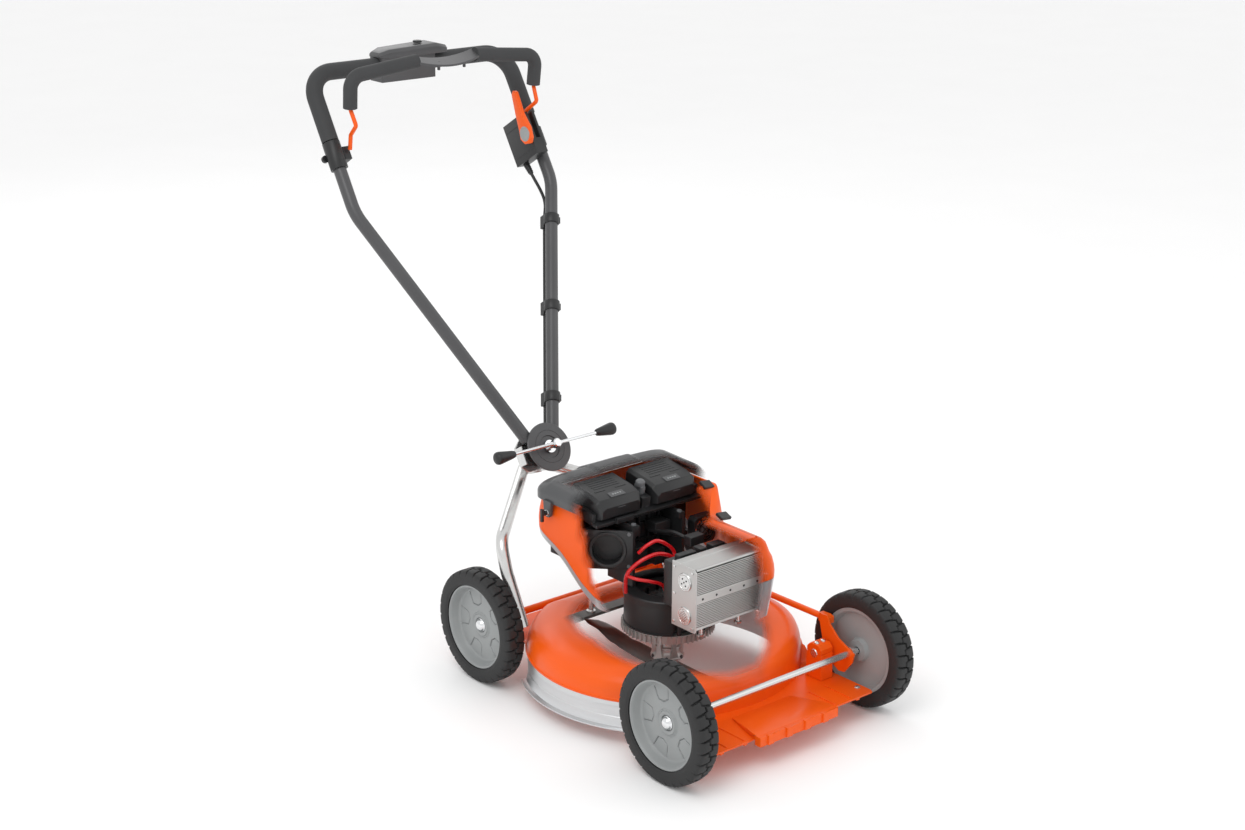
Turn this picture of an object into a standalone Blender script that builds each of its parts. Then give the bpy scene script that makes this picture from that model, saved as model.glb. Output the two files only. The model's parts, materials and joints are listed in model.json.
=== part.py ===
"""Push lawn mower with a battery drive, shown as a cutaway.

The mower rolls along Y. Its front is -Y and the operator walks behind it at +Y.
X is across the mower, and the ground is z = 0. While the pieces are modelled,
x = y = 0 is the centre of the round deck. The last step moves everything along
Y so that the origin is the bottom centre of the whole mower.
Every length is in metres.
"""
import math

import bmesh
import bpy
import numpy as np
from mathutils import Matrix, Vector

GAP = 0.0003

# Wheels and axles
TYRE_R = 0.108
TYRE_HALF_W = 0.021
RIM_R = 0.080
WHEEL_X = 0.236
AXLE_R = 0.006
FRONT_AXLE_Y = -0.2863
REAR_AXLE_Y = 0.2356
AXLE_Z = TYRE_R

# Height adjustment: both cranks turn about X, and the rod keeps level
FRONT_PIVOT = Vector((0.0, -0.239, 0.104))
REAR_PIVOT = Vector((0.0, 0.2826, 0.098))
CRANK_EYE = Vector((0.0, 0.013, 0.050))
CRANK_INNER_X = 0.194
CRANK_THICK = 0.004
CRANK_OUTER_X = 0.209
LINK_FRONT_X = 0.2045
LINK_REAR_X = 0.1745

# Deck
DECK_R = 0.2475
DECK_JOIN_Z = 0.0840
DECK_WALL = 0.0035
DECK_HOLE_R = 0.180
SKIRT_R = 0.250
SKIRT_Z = 0.030
APRON_Z = 0.055
APRON_TIP = (0.203, -0.346)
FLANGE_CORNER = (0.190, 0.272)
FLANGE_Z = 0.0795
REAR_WALL_Y = 0.2265
GUARD_HALF_W = 0.094
GUARD_Y = -0.364

# Drive: one vertical shaft carries the motor and the blade
SHAFT_Y = -0.018
BLADE_HALF_L = 0.216
BLADE_Z = 0.048
MOTOR_R = 0.083
BASE_Z = 0.124
SHROUD_Z = (0.1412, 0.2070)

# Controller with its finned heat sink
SINK_HALF_L = 0.078
SINK_Y = (-0.180, -0.117)
SINK_Z = (0.194, 0.306)
FIN_COUNT = 11

# Battery bay
BATTERY_X = 0.066
BATTERY_HALF_W = 0.052
BATTERY_TILT = math.radians(9.0)

# Air duct and fan, in the two front corners of the housing
DUCT_R = 0.031
DUCT_CENTRE = Vector((-0.096, 0.041, 0.282))
FAN_CENTRE = Vector((0.114, 0.014, 0.279))
FAN_R = 0.024

# Hood and lid
HOOD_WALL = 0.0025
HOOD_HALF_W = 0.150
NOSE_HALF_W = 0.110
HOOD_REAR_Y = 0.198
HOOD_NOSE_Y = -0.199
LID_SEAM_Z = 0.362
LID_FRONT_Y = 0.040
LID_HINGE = Vector((0.155, 0.110, 0.358))

# Handle: two straight lower tubes, a kink each side and a bent top
TUBE_R = 0.0125
TUBE_WALL = 0.0018
HANDLE_FOOT = Vector((0.0306, 0.3587, 0.3907))
HANDLE_KINK = Vector((0.2354, 0.6177, 0.8169))
HANDLE_TOP = Vector((0.234, 0.7671, 1.0597))
GRIP_R = 0.0163
CLAMP_CENTRE = Vector((0.0, 0.3327, 0.3780))
CLAMP_AXIS = Vector((0.0, -0.854, 0.520)).normalized()
TILT_PIVOT = Vector((0.0, 0.3780, 0.3270))
BRACKET_PLACE = 0.656
SWITCH_BOX_PLACE = 0.632
FRAME_R = 0.0118

# Bail and start lever
BAIL_PIVOT = Vector((0.0, 0.6680, 0.9250))
BAIL_HALF_W = 0.2165
BAIL_END_X = 0.2085
START_PIVOT = Vector((0.195, 0.6310, 0.9170))


# ---------------------------------------------------------------- helpers

def clear_scene():
    """Remove every object, so that the script can run twice."""
    for obj in list(bpy.data.objects):
        bpy.data.objects.remove(obj, do_unlink=True)


def material(name, colour, roughness, metallic=0.0):
    """A plain Principled material."""
    mat = bpy.data.materials.new(name)
    mat.use_nodes = True
    shader = mat.node_tree.nodes["Principled BSDF"]
    shader.inputs["Base Color"].default_value = (*colour, 1.0)
    shader.inputs["Roughness"].default_value = roughness
    shader.inputs["Metallic"].default_value = metallic
    return mat


def joined(*solids):
    """Several (vertices, faces) solids as one pair."""
    verts, faces = [], []
    for solid_verts, solid_faces in solids:
        base = len(verts)
        verts += [Vector(v) for v in solid_verts]
        faces += [tuple(base + i for i in face) for face in solid_faces]
    return verts, faces


def mirrored(solid):
    """The same solid on the other side of x = 0."""
    verts, faces = solid
    return [Vector((-v[0], v[1], v[2])) for v in verts], [tuple(reversed(f)) for f in faces]


def moved(solid, matrix):
    """A solid carried by a matrix."""
    verts, faces = solid
    return [matrix @ Vector(v) for v in verts], faces


def frame_matrix(origin, x_axis, z_axis):
    """A matrix that puts local X and Z along the given directions."""
    z = Vector(z_axis).normalized()
    y = z.cross(Vector(x_axis)).normalized()
    x = y.cross(z)
    matrix = Matrix((x, y, z)).transposed().to_4x4()
    matrix.translation = Vector(origin)
    return matrix


def add(name, solid, mat, origin=(0.0, 0.0, 0.0)):
    """Make a mesh object whose origin is at the given point."""
    verts, faces = solid
    shift = Vector(origin)
    mesh = bpy.data.meshes.new(name)
    mesh.from_pydata([Vector(v) - shift for v in verts], [], faces)
    work = bmesh.new()
    work.from_mesh(mesh)
    bmesh.ops.recalc_face_normals(work, faces=work.faces)
    work.to_mesh(mesh)
    work.free()
    mesh.materials.append(mat)
    obj = bpy.data.objects.new(name, mesh)
    obj.location = shift
    bpy.context.scene.collection.objects.link(obj)
    return obj


def temporary(solid):
    """An object that only lives during a Boolean."""
    mesh = bpy.data.meshes.new("temporary")
    mesh.from_pydata(solid[0], [], solid[1])
    work = bmesh.new()
    work.from_mesh(mesh)
    bmesh.ops.recalc_face_normals(work, faces=work.faces)
    work.to_mesh(mesh)
    work.free()
    obj = bpy.data.objects.new("temporary", mesh)
    bpy.context.scene.collection.objects.link(obj)
    return obj


def combined(first, second, operation):
    """The Boolean of two solids; each may hold several overlapping shells."""
    base, other = temporary(first), temporary(second)
    modifier = base.modifiers.new("boolean", "BOOLEAN")
    modifier.operation = operation
    modifier.solver = "EXACT"
    modifier.use_self = True
    modifier.object = other
    graph = bpy.context.evaluated_depsgraph_get()
    mesh = bpy.data.meshes.new_from_object(base.evaluated_get(graph))
    verts = [v.co.copy() for v in mesh.vertices]
    faces = [tuple(face.vertices) for face in mesh.polygons]
    bpy.data.objects.remove(base)
    bpy.data.objects.remove(other)
    return verts, faces


def fused(*solids):
    """One body from solids that overlap."""
    return combined(solids[0], joined(*solids[1:]), "UNION")


def loft(loops, closed_ends=True, ring=False):
    """Join loops of equal length into a tube; ring joins the last loop to the first."""
    count = len(loops[0])
    verts = [Vector(p) for loop in loops for p in loop]
    faces = []
    spans = len(loops) if ring else len(loops) - 1
    for i in range(spans):
        a, b = i * count, ((i + 1) % len(loops)) * count
        for j in range(count):
            k = (j + 1) % count
            faces.append((a + j, a + k, b + k, b + j))
    if closed_ends and not ring:
        faces.append(tuple(reversed(range(count))))
        faces.append(tuple(range(len(verts) - count, len(verts))))
    return verts, faces


def prism(outline, low, high):
    """Extrude an (x, y) outline from z = low to z = high."""
    return loft([[(x, y, z) for x, y in outline] for z in (low, high)])


def box(low, high):
    """A box between two corners."""
    outline = [(low[0], low[1]), (high[0], low[1]), (high[0], high[1]), (low[0], high[1])]
    return prism(outline, low[2], high[2])


def tilted_box(centre, size, matrix):
    """A box of the given size, turned and placed by the matrix, about a local centre."""
    half = [s / 2.0 for s in size]
    low = [c - h for c, h in zip(centre, half)]
    high = [c + h for c, h in zip(centre, half)]
    return moved(box(low, high), matrix)


def circle(radius, count, start=0.0):
    """Points (x, y) of a circle."""
    step = math.tau / count
    return [(radius * math.cos(start + i * step), radius * math.sin(start + i * step))
            for i in range(count)]


def revolved(profile, matrix, count, hollow=False):
    """Turn an (r, z) profile about local Z; a hollow one closes on itself."""
    loops = [[matrix @ Vector((x, y, z)) for x, y in circle(r, count)] for r, z in profile]
    return loft(loops, closed_ends=not hollow, ring=hollow)


def rod(start, end, radius, count=12):
    """A plain round rod between two points."""
    start, end = Vector(start), Vector(end)
    along = end - start
    side = Vector((1, 0, 0)) if abs(along.normalized().x) < 0.9 else Vector((0, 1, 0))
    matrix = frame_matrix(start, side, along)
    return revolved([(radius, 0.0), (radius, along.length)], matrix, count)


def rounded_path(points, radii, steps=5):
    """A polyline whose inner corners become arcs of the given radii."""
    points = [Vector(p) for p in points]
    path = [points[0]]
    for before, corner, after, radius in zip(points, points[1:], points[2:], radii):
        a = (before - corner).normalized()
        b = (after - corner).normalized()
        half = a.angle(b) / 2.0
        centre = corner + (a + b).normalized() * (radius / math.sin(half))
        start = corner + a * (radius / math.tan(half)) - centre
        end = corner + b * (radius / math.tan(half)) - centre
        sweep = start.angle(end)
        for i in range(steps + 1):
            t = i / steps
            spoke = (start * math.sin((1 - t) * sweep) + end * math.sin(t * sweep)) / math.sin(sweep)
            path.append(centre + spoke)
    path.append(points[-1])
    return path


def smooth_path(points, steps=4):
    """A Catmull-Rom curve through the points."""
    points = [Vector(p) for p in points]
    ends = [points[0] * 2 - points[1]] + points + [points[-1] * 2 - points[-2]]
    path = []
    for a, b, c, d in zip(ends, ends[1:], ends[2:], ends[3:]):
        for i in range(steps):
            t = i / steps
            path.append(0.5 * ((2 * b) + (c - a) * t + (2 * a - 5 * b + 4 * c - d) * t * t
                               + (3 * b - a - 3 * c + d) * t ** 3))
    path.append(points[-1])
    return path


def path_loops(path, radius, count):
    """Circles carried along a path without twist."""
    tangents = []
    for i in range(len(path)):
        before, after = path[max(i - 1, 0)], path[min(i + 1, len(path) - 1)]
        tangents.append((after - before).normalized())
    side = tangents[0].orthogonal().normalized()
    loops = []
    for i, (point, tangent) in enumerate(zip(path, tangents)):
        if i:
            side = tangents[i - 1].rotation_difference(tangent) @ side
        side = (side - tangent * side.dot(tangent)).normalized()
        matrix = frame_matrix(point, side, tangent)
        loops.append([matrix @ Vector((x, y, 0.0)) for x, y in circle(radius, count)])
    return loops


def swept(path, radius, count=10, bore=0.0):
    """A round bar along a path, or a tube when a bore radius is given."""
    outer = path_loops(path, radius, count)
    if not bore:
        return loft(outer)
    inner = path_loops(path, bore, count)
    return loft(outer + inner[::-1], ring=True)


def ring_plate(outer, inner, low, high):
    """A flat plate (x, y) between two outlines with equally many points."""
    loops = [[(x, y, z) for x, y in line]
             for line, z in ((outer, low), (outer, high), (inner, high), (inner, low))]
    return loft(loops, ring=True)


def square_around(half_x, half_y, count):
    """Points of a rectangle, one at each of the circle's angles."""
    points = []
    for x, y in circle(1.0, count, math.pi / count):
        scale = min(half_x / abs(x), half_y / abs(y))
        points.append((x * scale, y * scale))
    return points


def masked_shell(outer, inner, keep, wrap):
    """A closed shell over the kept cells of two matching grids.

    outer and inner are (rows, columns, 3) arrays, keep is a boolean array of the
    cells, and wrap joins the last column to the first.
    """
    rows, cols = outer.shape[:2]
    verts = [Vector(p) for p in outer.reshape(-1, 3)] + [Vector(p) for p in inner.reshape(-1, 3)]
    below = rows * cols
    edges = {}
    faces = []
    for i in range(keep.shape[0]):
        for j in range(keep.shape[1]):
            if not keep[i, j]:
                continue
            k = (j + 1) % cols if wrap else j + 1
            quad = (i * cols + j, i * cols + k, (i + 1) * cols + k, (i + 1) * cols + j)
            faces.append(quad)
            faces.append(tuple(below + v for v in reversed(quad)))
            for a, b in zip(quad, quad[1:] + quad[:1]):
                if (b, a) in edges:
                    del edges[(b, a)]
                else:
                    edges[(a, b)] = True
    faces += [(a, below + a, below + b, b) for a, b in edges]
    used = sorted({v for face in faces for v in face})
    place = {v: n for n, v in enumerate(used)}
    return [verts[v] for v in used], [tuple(place[v] for v in face) for face in faces]


def offset_grid(grid, thickness, wrap):
    """The grid moved along its own normals, away from its outside."""
    ahead = np.roll(grid, -1, axis=1) if wrap else np.concatenate([grid[:, 1:], grid[:, -1:]], 1)
    behind = np.roll(grid, 1, axis=1) if wrap else np.concatenate([grid[:, :1], grid[:, :-1]], 1)
    up = np.concatenate([grid[1:], grid[-1:]], 0) - np.concatenate([grid[:1], grid[:-1]], 0)
    normal = np.cross(ahead - behind, up)
    normal /= np.linalg.norm(normal, axis=2, keepdims=True)
    return grid - thickness * normal


def smoothstep(low, high, value):
    """0 below low, 1 above high, and smooth between."""
    t = np.clip((value - low) / (high - low), 0.0, 1.0)
    return t * t * (3.0 - 2.0 * t)


# ---------------------------------------------------------------- materials

ORANGE = material("orange_paint", (0.86, 0.13, 0.012), 0.38)
ORANGE_PLASTIC = material("orange_plastic", (0.86, 0.12, 0.01), 0.45)
SKIRT_METAL = material("skirt_aluminium", (0.60, 0.61, 0.62), 0.42, 0.9)
CAST_METAL = material("cast_aluminium", (0.55, 0.55, 0.56), 0.45, 0.9)
ZINC = material("zinc_plate", (0.72, 0.72, 0.73), 0.25, 1.0)
CHROME = material("chrome", (0.80, 0.81, 0.82), 0.12, 1.0)
BLADE_STEEL = material("blade_steel", (0.16, 0.14, 0.13), 0.45, 0.8)
DARK_PAINT = material("dark_grey_paint", (0.065, 0.065, 0.068), 0.42)
BLACK_PLASTIC = material("black_plastic", (0.022, 0.023, 0.025), 0.5)
LID_PLASTIC = material("lid_plastic", (0.055, 0.056, 0.058), 0.4)
FOAM = material("grip_foam", (0.045, 0.046, 0.048), 0.75)
TYRE_RUBBER = material("tyre_rubber", (0.018, 0.018, 0.019), 0.75)
RIM_PLASTIC = material("rim_plastic", (0.36, 0.39, 0.38), 0.45)
RED_WIRE = material("red_insulation", (0.60, 0.01, 0.012), 0.35)
TRIM_SILVER = material("trim_silver", (0.50, 0.51, 0.53), 0.35, 0.6)
GREY_PLASTIC = material("grey_plastic", (0.16, 0.165, 0.17), 0.5)


# ---------------------------------------------------------------- deck

def bump(angle, centre, width, power=2):
    """A smooth bump of height 1 about a centre angle; both angles are in degrees."""
    off = (angle - centre + 180.0) % 360.0 - 180.0
    return math.exp(-abs(off / width) ** power)


def deck_outline(angle):
    """Distance from the centre to the deck's outer edge at an angle about Z.

    The round skirt widens into a flat apron between the front wheels and into a
    short flange over the rear axle.
    """
    across, along = abs(math.cos(angle)) + 1e-6, math.sin(angle)
    tip_x, tip_y = APRON_TIP
    if along < 0.0:
        to_side = tip_x / across
        to_end = tip_y / along
    else:
        to_side = FLANGE_CORNER[0] / across
        to_end = FLANGE_CORNER[1] / (along + 1e-6)
    return max(DECK_R + 0.0035, min(to_end, to_side))


def deck_grids():
    """The deck's outside as rings: motor opening, dome, shoulder, wall and apron.

    The dome bulges and rises towards the left front wheel, where the clippings
    swirl. Its rear wall is flat, in front of the axle, and the opening is longer
    over the front end of the blade.
    """
    columns = 60
    radii = [DECK_HOLE_R, 0.2020, 0.2225, 0.2375, 0.2450, DECK_R]
    heights = [0.1370, 0.1340, 0.1270, 0.1160, 0.1020, 0.0860]
    rings = [[] for _ in range(len(radii) + 4)]
    for i in range(columns):
        a = i * math.tau / columns
        degrees = math.degrees(a)
        scale = 1.0 + 0.042 * bump(degrees, -35.0, 30.0)
        scale = min(scale, REAR_WALL_Y / ((DECK_R + 0.004) * max(math.sin(a), 0.01)))
        lift = 1.0 + 0.28 * bump(degrees, -32.0, 28.0)
        hole = DECK_HOLE_R + 0.034 * bump(degrees, 276.0, 22.0, 4)
        rim = (DECK_R + 0.0015) * scale
        points = []
        for n, radius in enumerate(radii):
            radius = max(hole + 0.0045 * n, radius * scale)
            height = float(np.interp(radius / scale, radii, heights))
            points.append((radius, 0.0860 + lift * (height - 0.0860)))
        reach = max(deck_outline(a), rim + 0.002)
        wide = float(smoothstep(0.003, 0.025, reach - rim))
        level = FLANGE_Z if math.sin(a) > 0.0 else APRON_Z
        foot = (1.0 - wide) * DECK_JOIN_Z + wide * level
        for step in (0.0, 0.12, 0.55, 1.0):
            points.append((rim + step * (reach - rim), foot - 0.0005 * step))
        for ring, (radius, height) in zip(rings, points):
            ring.append((radius * math.cos(a), radius * math.sin(a), height))
    outer = np.array(rings)
    inner = outer.copy()
    inner[:, :, 2] -= DECK_WALL
    planar = np.linalg.norm(outer[:, :, :2], axis=2, keepdims=True)
    slope = np.array([0.0, 0.1, 0.4, 0.8, 1.0, 1.0, 1.0, 0.0, 0.0, 0.0])[:, None, None]
    inner[:, :, :2] *= 1.0 - slope * DECK_WALL / planar
    return outer, inner


def make_deck():
    """The cast deck: one shell with its apron, and the motor opening."""
    outer, inner = deck_grids()
    keep = np.ones((outer.shape[0] - 1, outer.shape[1]), bool)
    add("deck_shell", masked_shell(outer, inner, keep, wrap=True), ORANGE)


def make_skirts():
    """The two aluminium side skirts with their outward bottom lip."""
    def skirt(first, last):
        columns = 16
        top = DECK_JOIN_Z - DECK_WALL - 0.0010
        profile = [(SKIRT_R - 0.0045, top), (SKIRT_R - 0.0035, 0.045), (SKIRT_R - 0.001, SKIRT_Z),
                   (SKIRT_R + 0.010, SKIRT_Z), (SKIRT_R + 0.010, SKIRT_Z + 0.0022),
                   (SKIRT_R + 0.0015, SKIRT_Z + 0.0042), (SKIRT_R - 0.0008, 0.045),
                   (SKIRT_R - 0.0018, top)]
        loops = []
        for i in range(columns + 1):
            a = math.radians(first + (last - first) * i / columns)
            loops.append([(r * math.cos(a), r * math.sin(a), z) for r, z in profile])
        return loft(loops)

    right = skirt(150.0, 215.0)
    add("skirt_right", right, SKIRT_METAL)
    add("skirt_left", mirrored(right), SKIRT_METAL)


def make_front_guard():
    """The raised pad bolted on the apron's front edge, with four bands over its lip."""
    low, high = APRON_Z + GAP, APRON_Z + 0.008
    pad = loft([[(-w, y, low), (w, y, low), (w, y, z), (-w, y, z)]
                for w, y, z in ((0.070, -0.268, low + 0.002), (0.088, -0.330, high),
                                (GUARD_HALF_W, -0.3550, high))])
    lip = box((-GUARD_HALF_W, GUARD_Y, 0.0455), (GUARD_HALF_W, -0.3500, high - 0.0005))
    bands = []
    for i in range(4):
        x = -0.078 + 0.044 * i
        bands.append(box((x, GUARD_Y - 0.004, 0.0465), (x + 0.013, GUARD_Y + 0.004, high + 0.001)))
    add("front_guard", fused(pad, lip, *bands), ORANGE)


def make_cross_bar():
    """The flat bar across the motor opening that the drive is bolted to."""
    z = 0.1380
    add("cross_bar", box((-0.170, 0.078, z), (0.170, 0.106, z + 0.005)), BLADE_STEEL)


# ---------------------------------------------------------------- wheels, axles, height adjustment

def axle_matrix(y, side):
    """Local Z runs outwards along the axle on one side."""
    return frame_matrix((0.0, y, AXLE_Z), (0, 1, 0), (side, 0, 0))


def make_wheel(name, y, side):
    """A tyre on a dished plastic rim, both turned about the axle."""
    matrix = axle_matrix(y, side)
    centre = (side * WHEEL_X, y, AXLE_Z)
    inner_face, outer_face = WHEEL_X - TYRE_HALF_W, WHEEL_X + TYRE_HALF_W
    seat = RIM_R + 0.0009
    tyre = [(seat, inner_face + 0.003), (RIM_R + 0.004, inner_face), (TYRE_R - 0.006, inner_face),
            (TYRE_R, inner_face + 0.007), (TYRE_R, outer_face - 0.007), (TYRE_R - 0.006, outer_face),
            (RIM_R + 0.004, outer_face), (seat, outer_face - 0.003)]
    add("tyre_" + name, revolved(tyre, matrix, 32, hollow=True), TYRE_RUBBER, centre)
    bore = AXLE_R + 0.0002
    rim = [(bore, WHEEL_X - 0.017), (0.019, WHEEL_X - 0.017), (0.0225, WHEEL_X - 0.008),
           (0.068, WHEEL_X - 0.008), (0.073, WHEEL_X - 0.017), (RIM_R, WHEEL_X - 0.019),
           (RIM_R, WHEEL_X + 0.018), (0.0755, WHEEL_X + 0.018), (0.069, WHEEL_X - 0.001),
           (0.024, WHEEL_X - 0.001), (0.021, WHEEL_X + 0.003), (0.0145, WHEEL_X + 0.003),
           (0.0145, WHEEL_X - 0.002), (bore, WHEEL_X - 0.002)]
    add("rim_" + name, revolved(rim, matrix, 24, hollow=True), RIM_PLASTIC, centre)


def make_axle(name, y, pivot, radius, crank):
    """An axle with its two cranks and end caps; it turns about the cranks' pivot."""
    bar = rod((-0.1998, y, AXLE_Z), (0.1998, y, AXLE_Z), radius)
    start = CRANK_INNER_X + 0.002
    stub = [(radius, start), (radius, CRANK_OUTER_X), (AXLE_R, CRANK_OUTER_X + 0.0001),
            (AXLE_R, WHEEL_X), (0.0115, WHEEL_X + GAP), (0.0115, WHEEL_X + 0.004),
            (0.0090, WHEEL_X + 0.0085), (0.0040, WHEEL_X + 0.0105)]
    stubs = [revolved(stub, axle_matrix(y, side), 12) for side in (-1, 1)]
    plate = loft([[(x, py, pz) for py, pz in crank]
                  for x in (CRANK_INNER_X, CRANK_INNER_X + CRANK_THICK)])
    add(name, fused(bar, *stubs, plate, mirrored(plate)), ORANGE, pivot)


def front_crank():
    """Outline (y, z) of a front crank: pivot, axle and the link's eye."""
    fy, fz = FRONT_AXLE_Y, AXLE_Z
    ey, ez = FRONT_PIVOT.y + CRANK_EYE.y, FRONT_PIVOT.z + CRANK_EYE.z
    return [(fy - 0.016, fz + 0.004), (fy - 0.012, fz - 0.014), (fy + 0.006, fz - 0.038),
            (fy + 0.020, fz - 0.040), (FRONT_PIVOT.y + 0.016, FRONT_PIVOT.z - 0.012),
            (FRONT_PIVOT.y + 0.016, FRONT_PIVOT.z + 0.012), (ey + 0.012, ez - 0.004),
            (ey + 0.009, ez + 0.010), (ey - 0.007, ez + 0.011), (ey - 0.014, ez - 0.004),
            (fy + 0.024, fz + 0.022)]


def rear_crank():
    """Outline (y, z) of a rear crank."""
    ry, rz = REAR_AXLE_Y, AXLE_Z
    ey, ez = REAR_PIVOT.y + CRANK_EYE.y, REAR_PIVOT.z + CRANK_EYE.z
    return [(ry - 0.018, rz), (ry - 0.010, rz - 0.018), (REAR_PIVOT.y + 0.004, REAR_PIVOT.z - 0.018),
            (REAR_PIVOT.y + 0.018, REAR_PIVOT.z - 0.004), (ey + 0.011, ez - 0.004),
            (ey + 0.007, ez + 0.010), (ey - 0.008, ez + 0.009), (ry + 0.020, rz + 0.022),
            (ry - 0.010, rz + 0.018)]


def make_height_lever():
    """The hand lever bolted inside the rear right crank."""
    ry, rz = REAR_AXLE_Y, AXLE_Z
    low = CRANK_INNER_X
    stem = [(ry - 0.010, rz + 0.0185), (ry + 0.004, rz + 0.0205), (0.2225, 0.166), (0.2290, 0.192),
            (0.2345, 0.208), (0.2310, 0.216), (0.2240, 0.213), (0.2165, 0.194), (0.2125, 0.172)]
    lever = loft([[(-x, y, z) for y, z in stem] for x in (low - 0.0125, low - 0.0083)])
    spacer = box((-low + GAP, ry - 0.007, rz + 0.0215), (-low + 0.0100, ry + 0.001, rz + 0.030))
    add("height_lever", fused(lever, spacer), ORANGE, REAR_PIVOT)


def make_link_rod():
    """The cranked rod on the left-hand side that makes both axles rise together.

    Its front eye runs outside the front crank, and its rear eye inside the rear
    crank, so that it passes between the deck and the handle frame.
    """
    front = FRONT_PIVOT + CRANK_EYE
    rear = REAR_PIVOT + CRANK_EYE
    slope = (rear.z - front.z) / (rear.y - front.y)
    path = [Vector((x, y, front.z + (y - front.y) * slope))
            for x, y in ((LINK_FRONT_X, front.y + 0.016), (LINK_FRONT_X, 0.045), (LINK_REAR_X, 0.120),
                         (LINK_REAR_X, rear.y - 0.016))]
    bar = swept(rounded_path(path, (0.030, 0.030), steps=3), 0.006, 10)
    eyes = []
    for point, low, high in ((front, LINK_FRONT_X - 0.006, LINK_FRONT_X + 0.006),
                             (rear, LINK_REAR_X - 0.006, CRANK_INNER_X - 0.0015)):
        away = 1.0 if point is front else -1.0
        outline = [(point.y - away * 0.009, point.z - 0.006), (point.y - away * 0.009, point.z + 0.006),
                   (point.y, point.z + 0.009), (point.y + away * 0.0190, point.z + 0.008),
                   (point.y + away * 0.0190, point.z - 0.008), (point.y, point.z - 0.009)]
        eyes.append(loft([[(x, y, z) for y, z in outline] for x in (low, high)]))
    add("link_rod", fused(bar, *eyes), ORANGE, (LINK_REAR_X, rear.y, rear.z))


def make_pivot_blocks():
    """Four split blocks on the deck that carry the crank pivots."""
    for end, pivot, base in (("front", FRONT_PIVOT, APRON_Z + GAP), ("rear", REAR_PIVOT, FLANGE_Z + GAP)):
        for side, x in (("right", -0.172), ("left", 0.172)):
            half = 0.015
            outline = [(pivot.y - 0.020, base), (pivot.y + 0.020, base), (pivot.y + 0.018, pivot.z + 0.010),
                       (pivot.y + 0.010, pivot.z + 0.018), (pivot.y - 0.010, pivot.z + 0.018),
                       (pivot.y - 0.018, pivot.z + 0.010)]
            block = loft([[(x + dx, y, z) for y, z in outline] for dx in (-half, half)])
            add("pivot_block_" + end + "_" + side, block, ORANGE)


# ---------------------------------------------------------------- drive

def shaft_matrix(z=0.0):
    """Local Z is the motor shaft."""
    return Matrix.Translation((0.0, SHAFT_Y, z))


def make_blade():
    """A twin-wing mulching blade, twisted up at the tips, with its bolt head."""
    stations = [(-1.0, 0.014, 0.014), (-0.80, 0.012, 0.013), (-0.62, 0.003, 0.004), (-0.30, 0.0, 0.0),
                (0.30, 0.0, 0.0), (0.62, 0.003, 0.004), (0.80, 0.012, 0.013), (1.0, 0.014, 0.014)]
    half_w, thick = 0.024, 0.0032
    loops = []
    for s, lift, twist in stations:
        side = 1.0 if s > 0 else -1.0
        y = SHAFT_Y + s * BLADE_HALF_L
        left = BLADE_Z + lift + side * twist * 0.5
        right = BLADE_Z + lift - side * twist * 0.5
        loops.append([(-half_w, y, left), (half_w, y, right), (half_w, y, right + thick),
                      (-half_w, y, left + thick)])
    bolt = revolved([(0.0100, 0.0380), (0.0115, 0.0395), (0.0115, BLADE_Z + 0.001)], shaft_matrix(), 6)
    add("blade", fused(loft(loops), bolt), BLADE_STEEL, (0.0, SHAFT_Y, BLADE_Z))


def make_rotor():
    """The shaft with its rotor core and blade adapter in one turning piece."""
    clamp_z = BLADE_Z + 0.0032 + GAP
    shaft = [(0.020, clamp_z), (0.020, clamp_z + 0.004), (0.0085, clamp_z + 0.005), (0.0085, 0.1430),
             (0.040, 0.1435), (0.040, 0.1835), (0.0085, 0.1840), (0.0085, 0.1950)]
    add("rotor_shaft", revolved(shaft, shaft_matrix(), 20), ZINC, (0.0, SHAFT_Y, BLADE_Z))


def make_motor():
    """Base casting with its spindle housing, bearing, stator and shroud."""
    bore = 0.0175
    top = SHROUD_Z[0] - 0.0007
    base = [(0.0095, 0.0665), (0.0310, 0.0665), (0.0310, 0.0720), (0.0225, 0.0800), (0.0210, 0.0900),
            (0.0210, 0.1090), (0.0270, 0.1180), (0.0400, BASE_Z), (0.0740, BASE_Z + 0.0005),
            (0.0800, BASE_Z + 0.0040), (0.0800, top), (0.0480, top), (0.0480, 0.1342), (bore, 0.1342),
            (bore, 0.0760), (0.0095, 0.0760)]
    add("motor_base", revolved(base, shaft_matrix(), 28, hollow=True), CAST_METAL)
    bearing = [(0.0088, 0.0), (0.0172, 0.0), (0.0172, 0.012), (0.0088, 0.012)]
    add("spindle_bearing", revolved(bearing, shaft_matrix(0.1215), 14, hollow=True), CHROME)
    stator = [(0.0420, 0.1412), (0.0700, 0.1412), (0.0700, 0.1960), (0.0420, 0.1960)]
    add("motor_stator", revolved(stator, shaft_matrix(), 24, hollow=True), BLACK_PLASTIC)
    columns = 28
    angles = [math.radians(290.0 + 305.0 * i / columns) for i in range(columns + 1)]
    low, high = SHROUD_Z
    profile = [(MOTOR_R, low), (MOTOR_R + 0.001, high), (0.060, high + 0.002), (0.060, high - 0.001),
               (MOTOR_R - 0.002, high - 0.003), (MOTOR_R - 0.003, low)]
    loops = [[(r * math.cos(a), SHAFT_Y + r * math.sin(a), z) for r, z in profile] for a in angles]
    add("motor_shroud", loft(loops), BLACK_PLASTIC)


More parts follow.
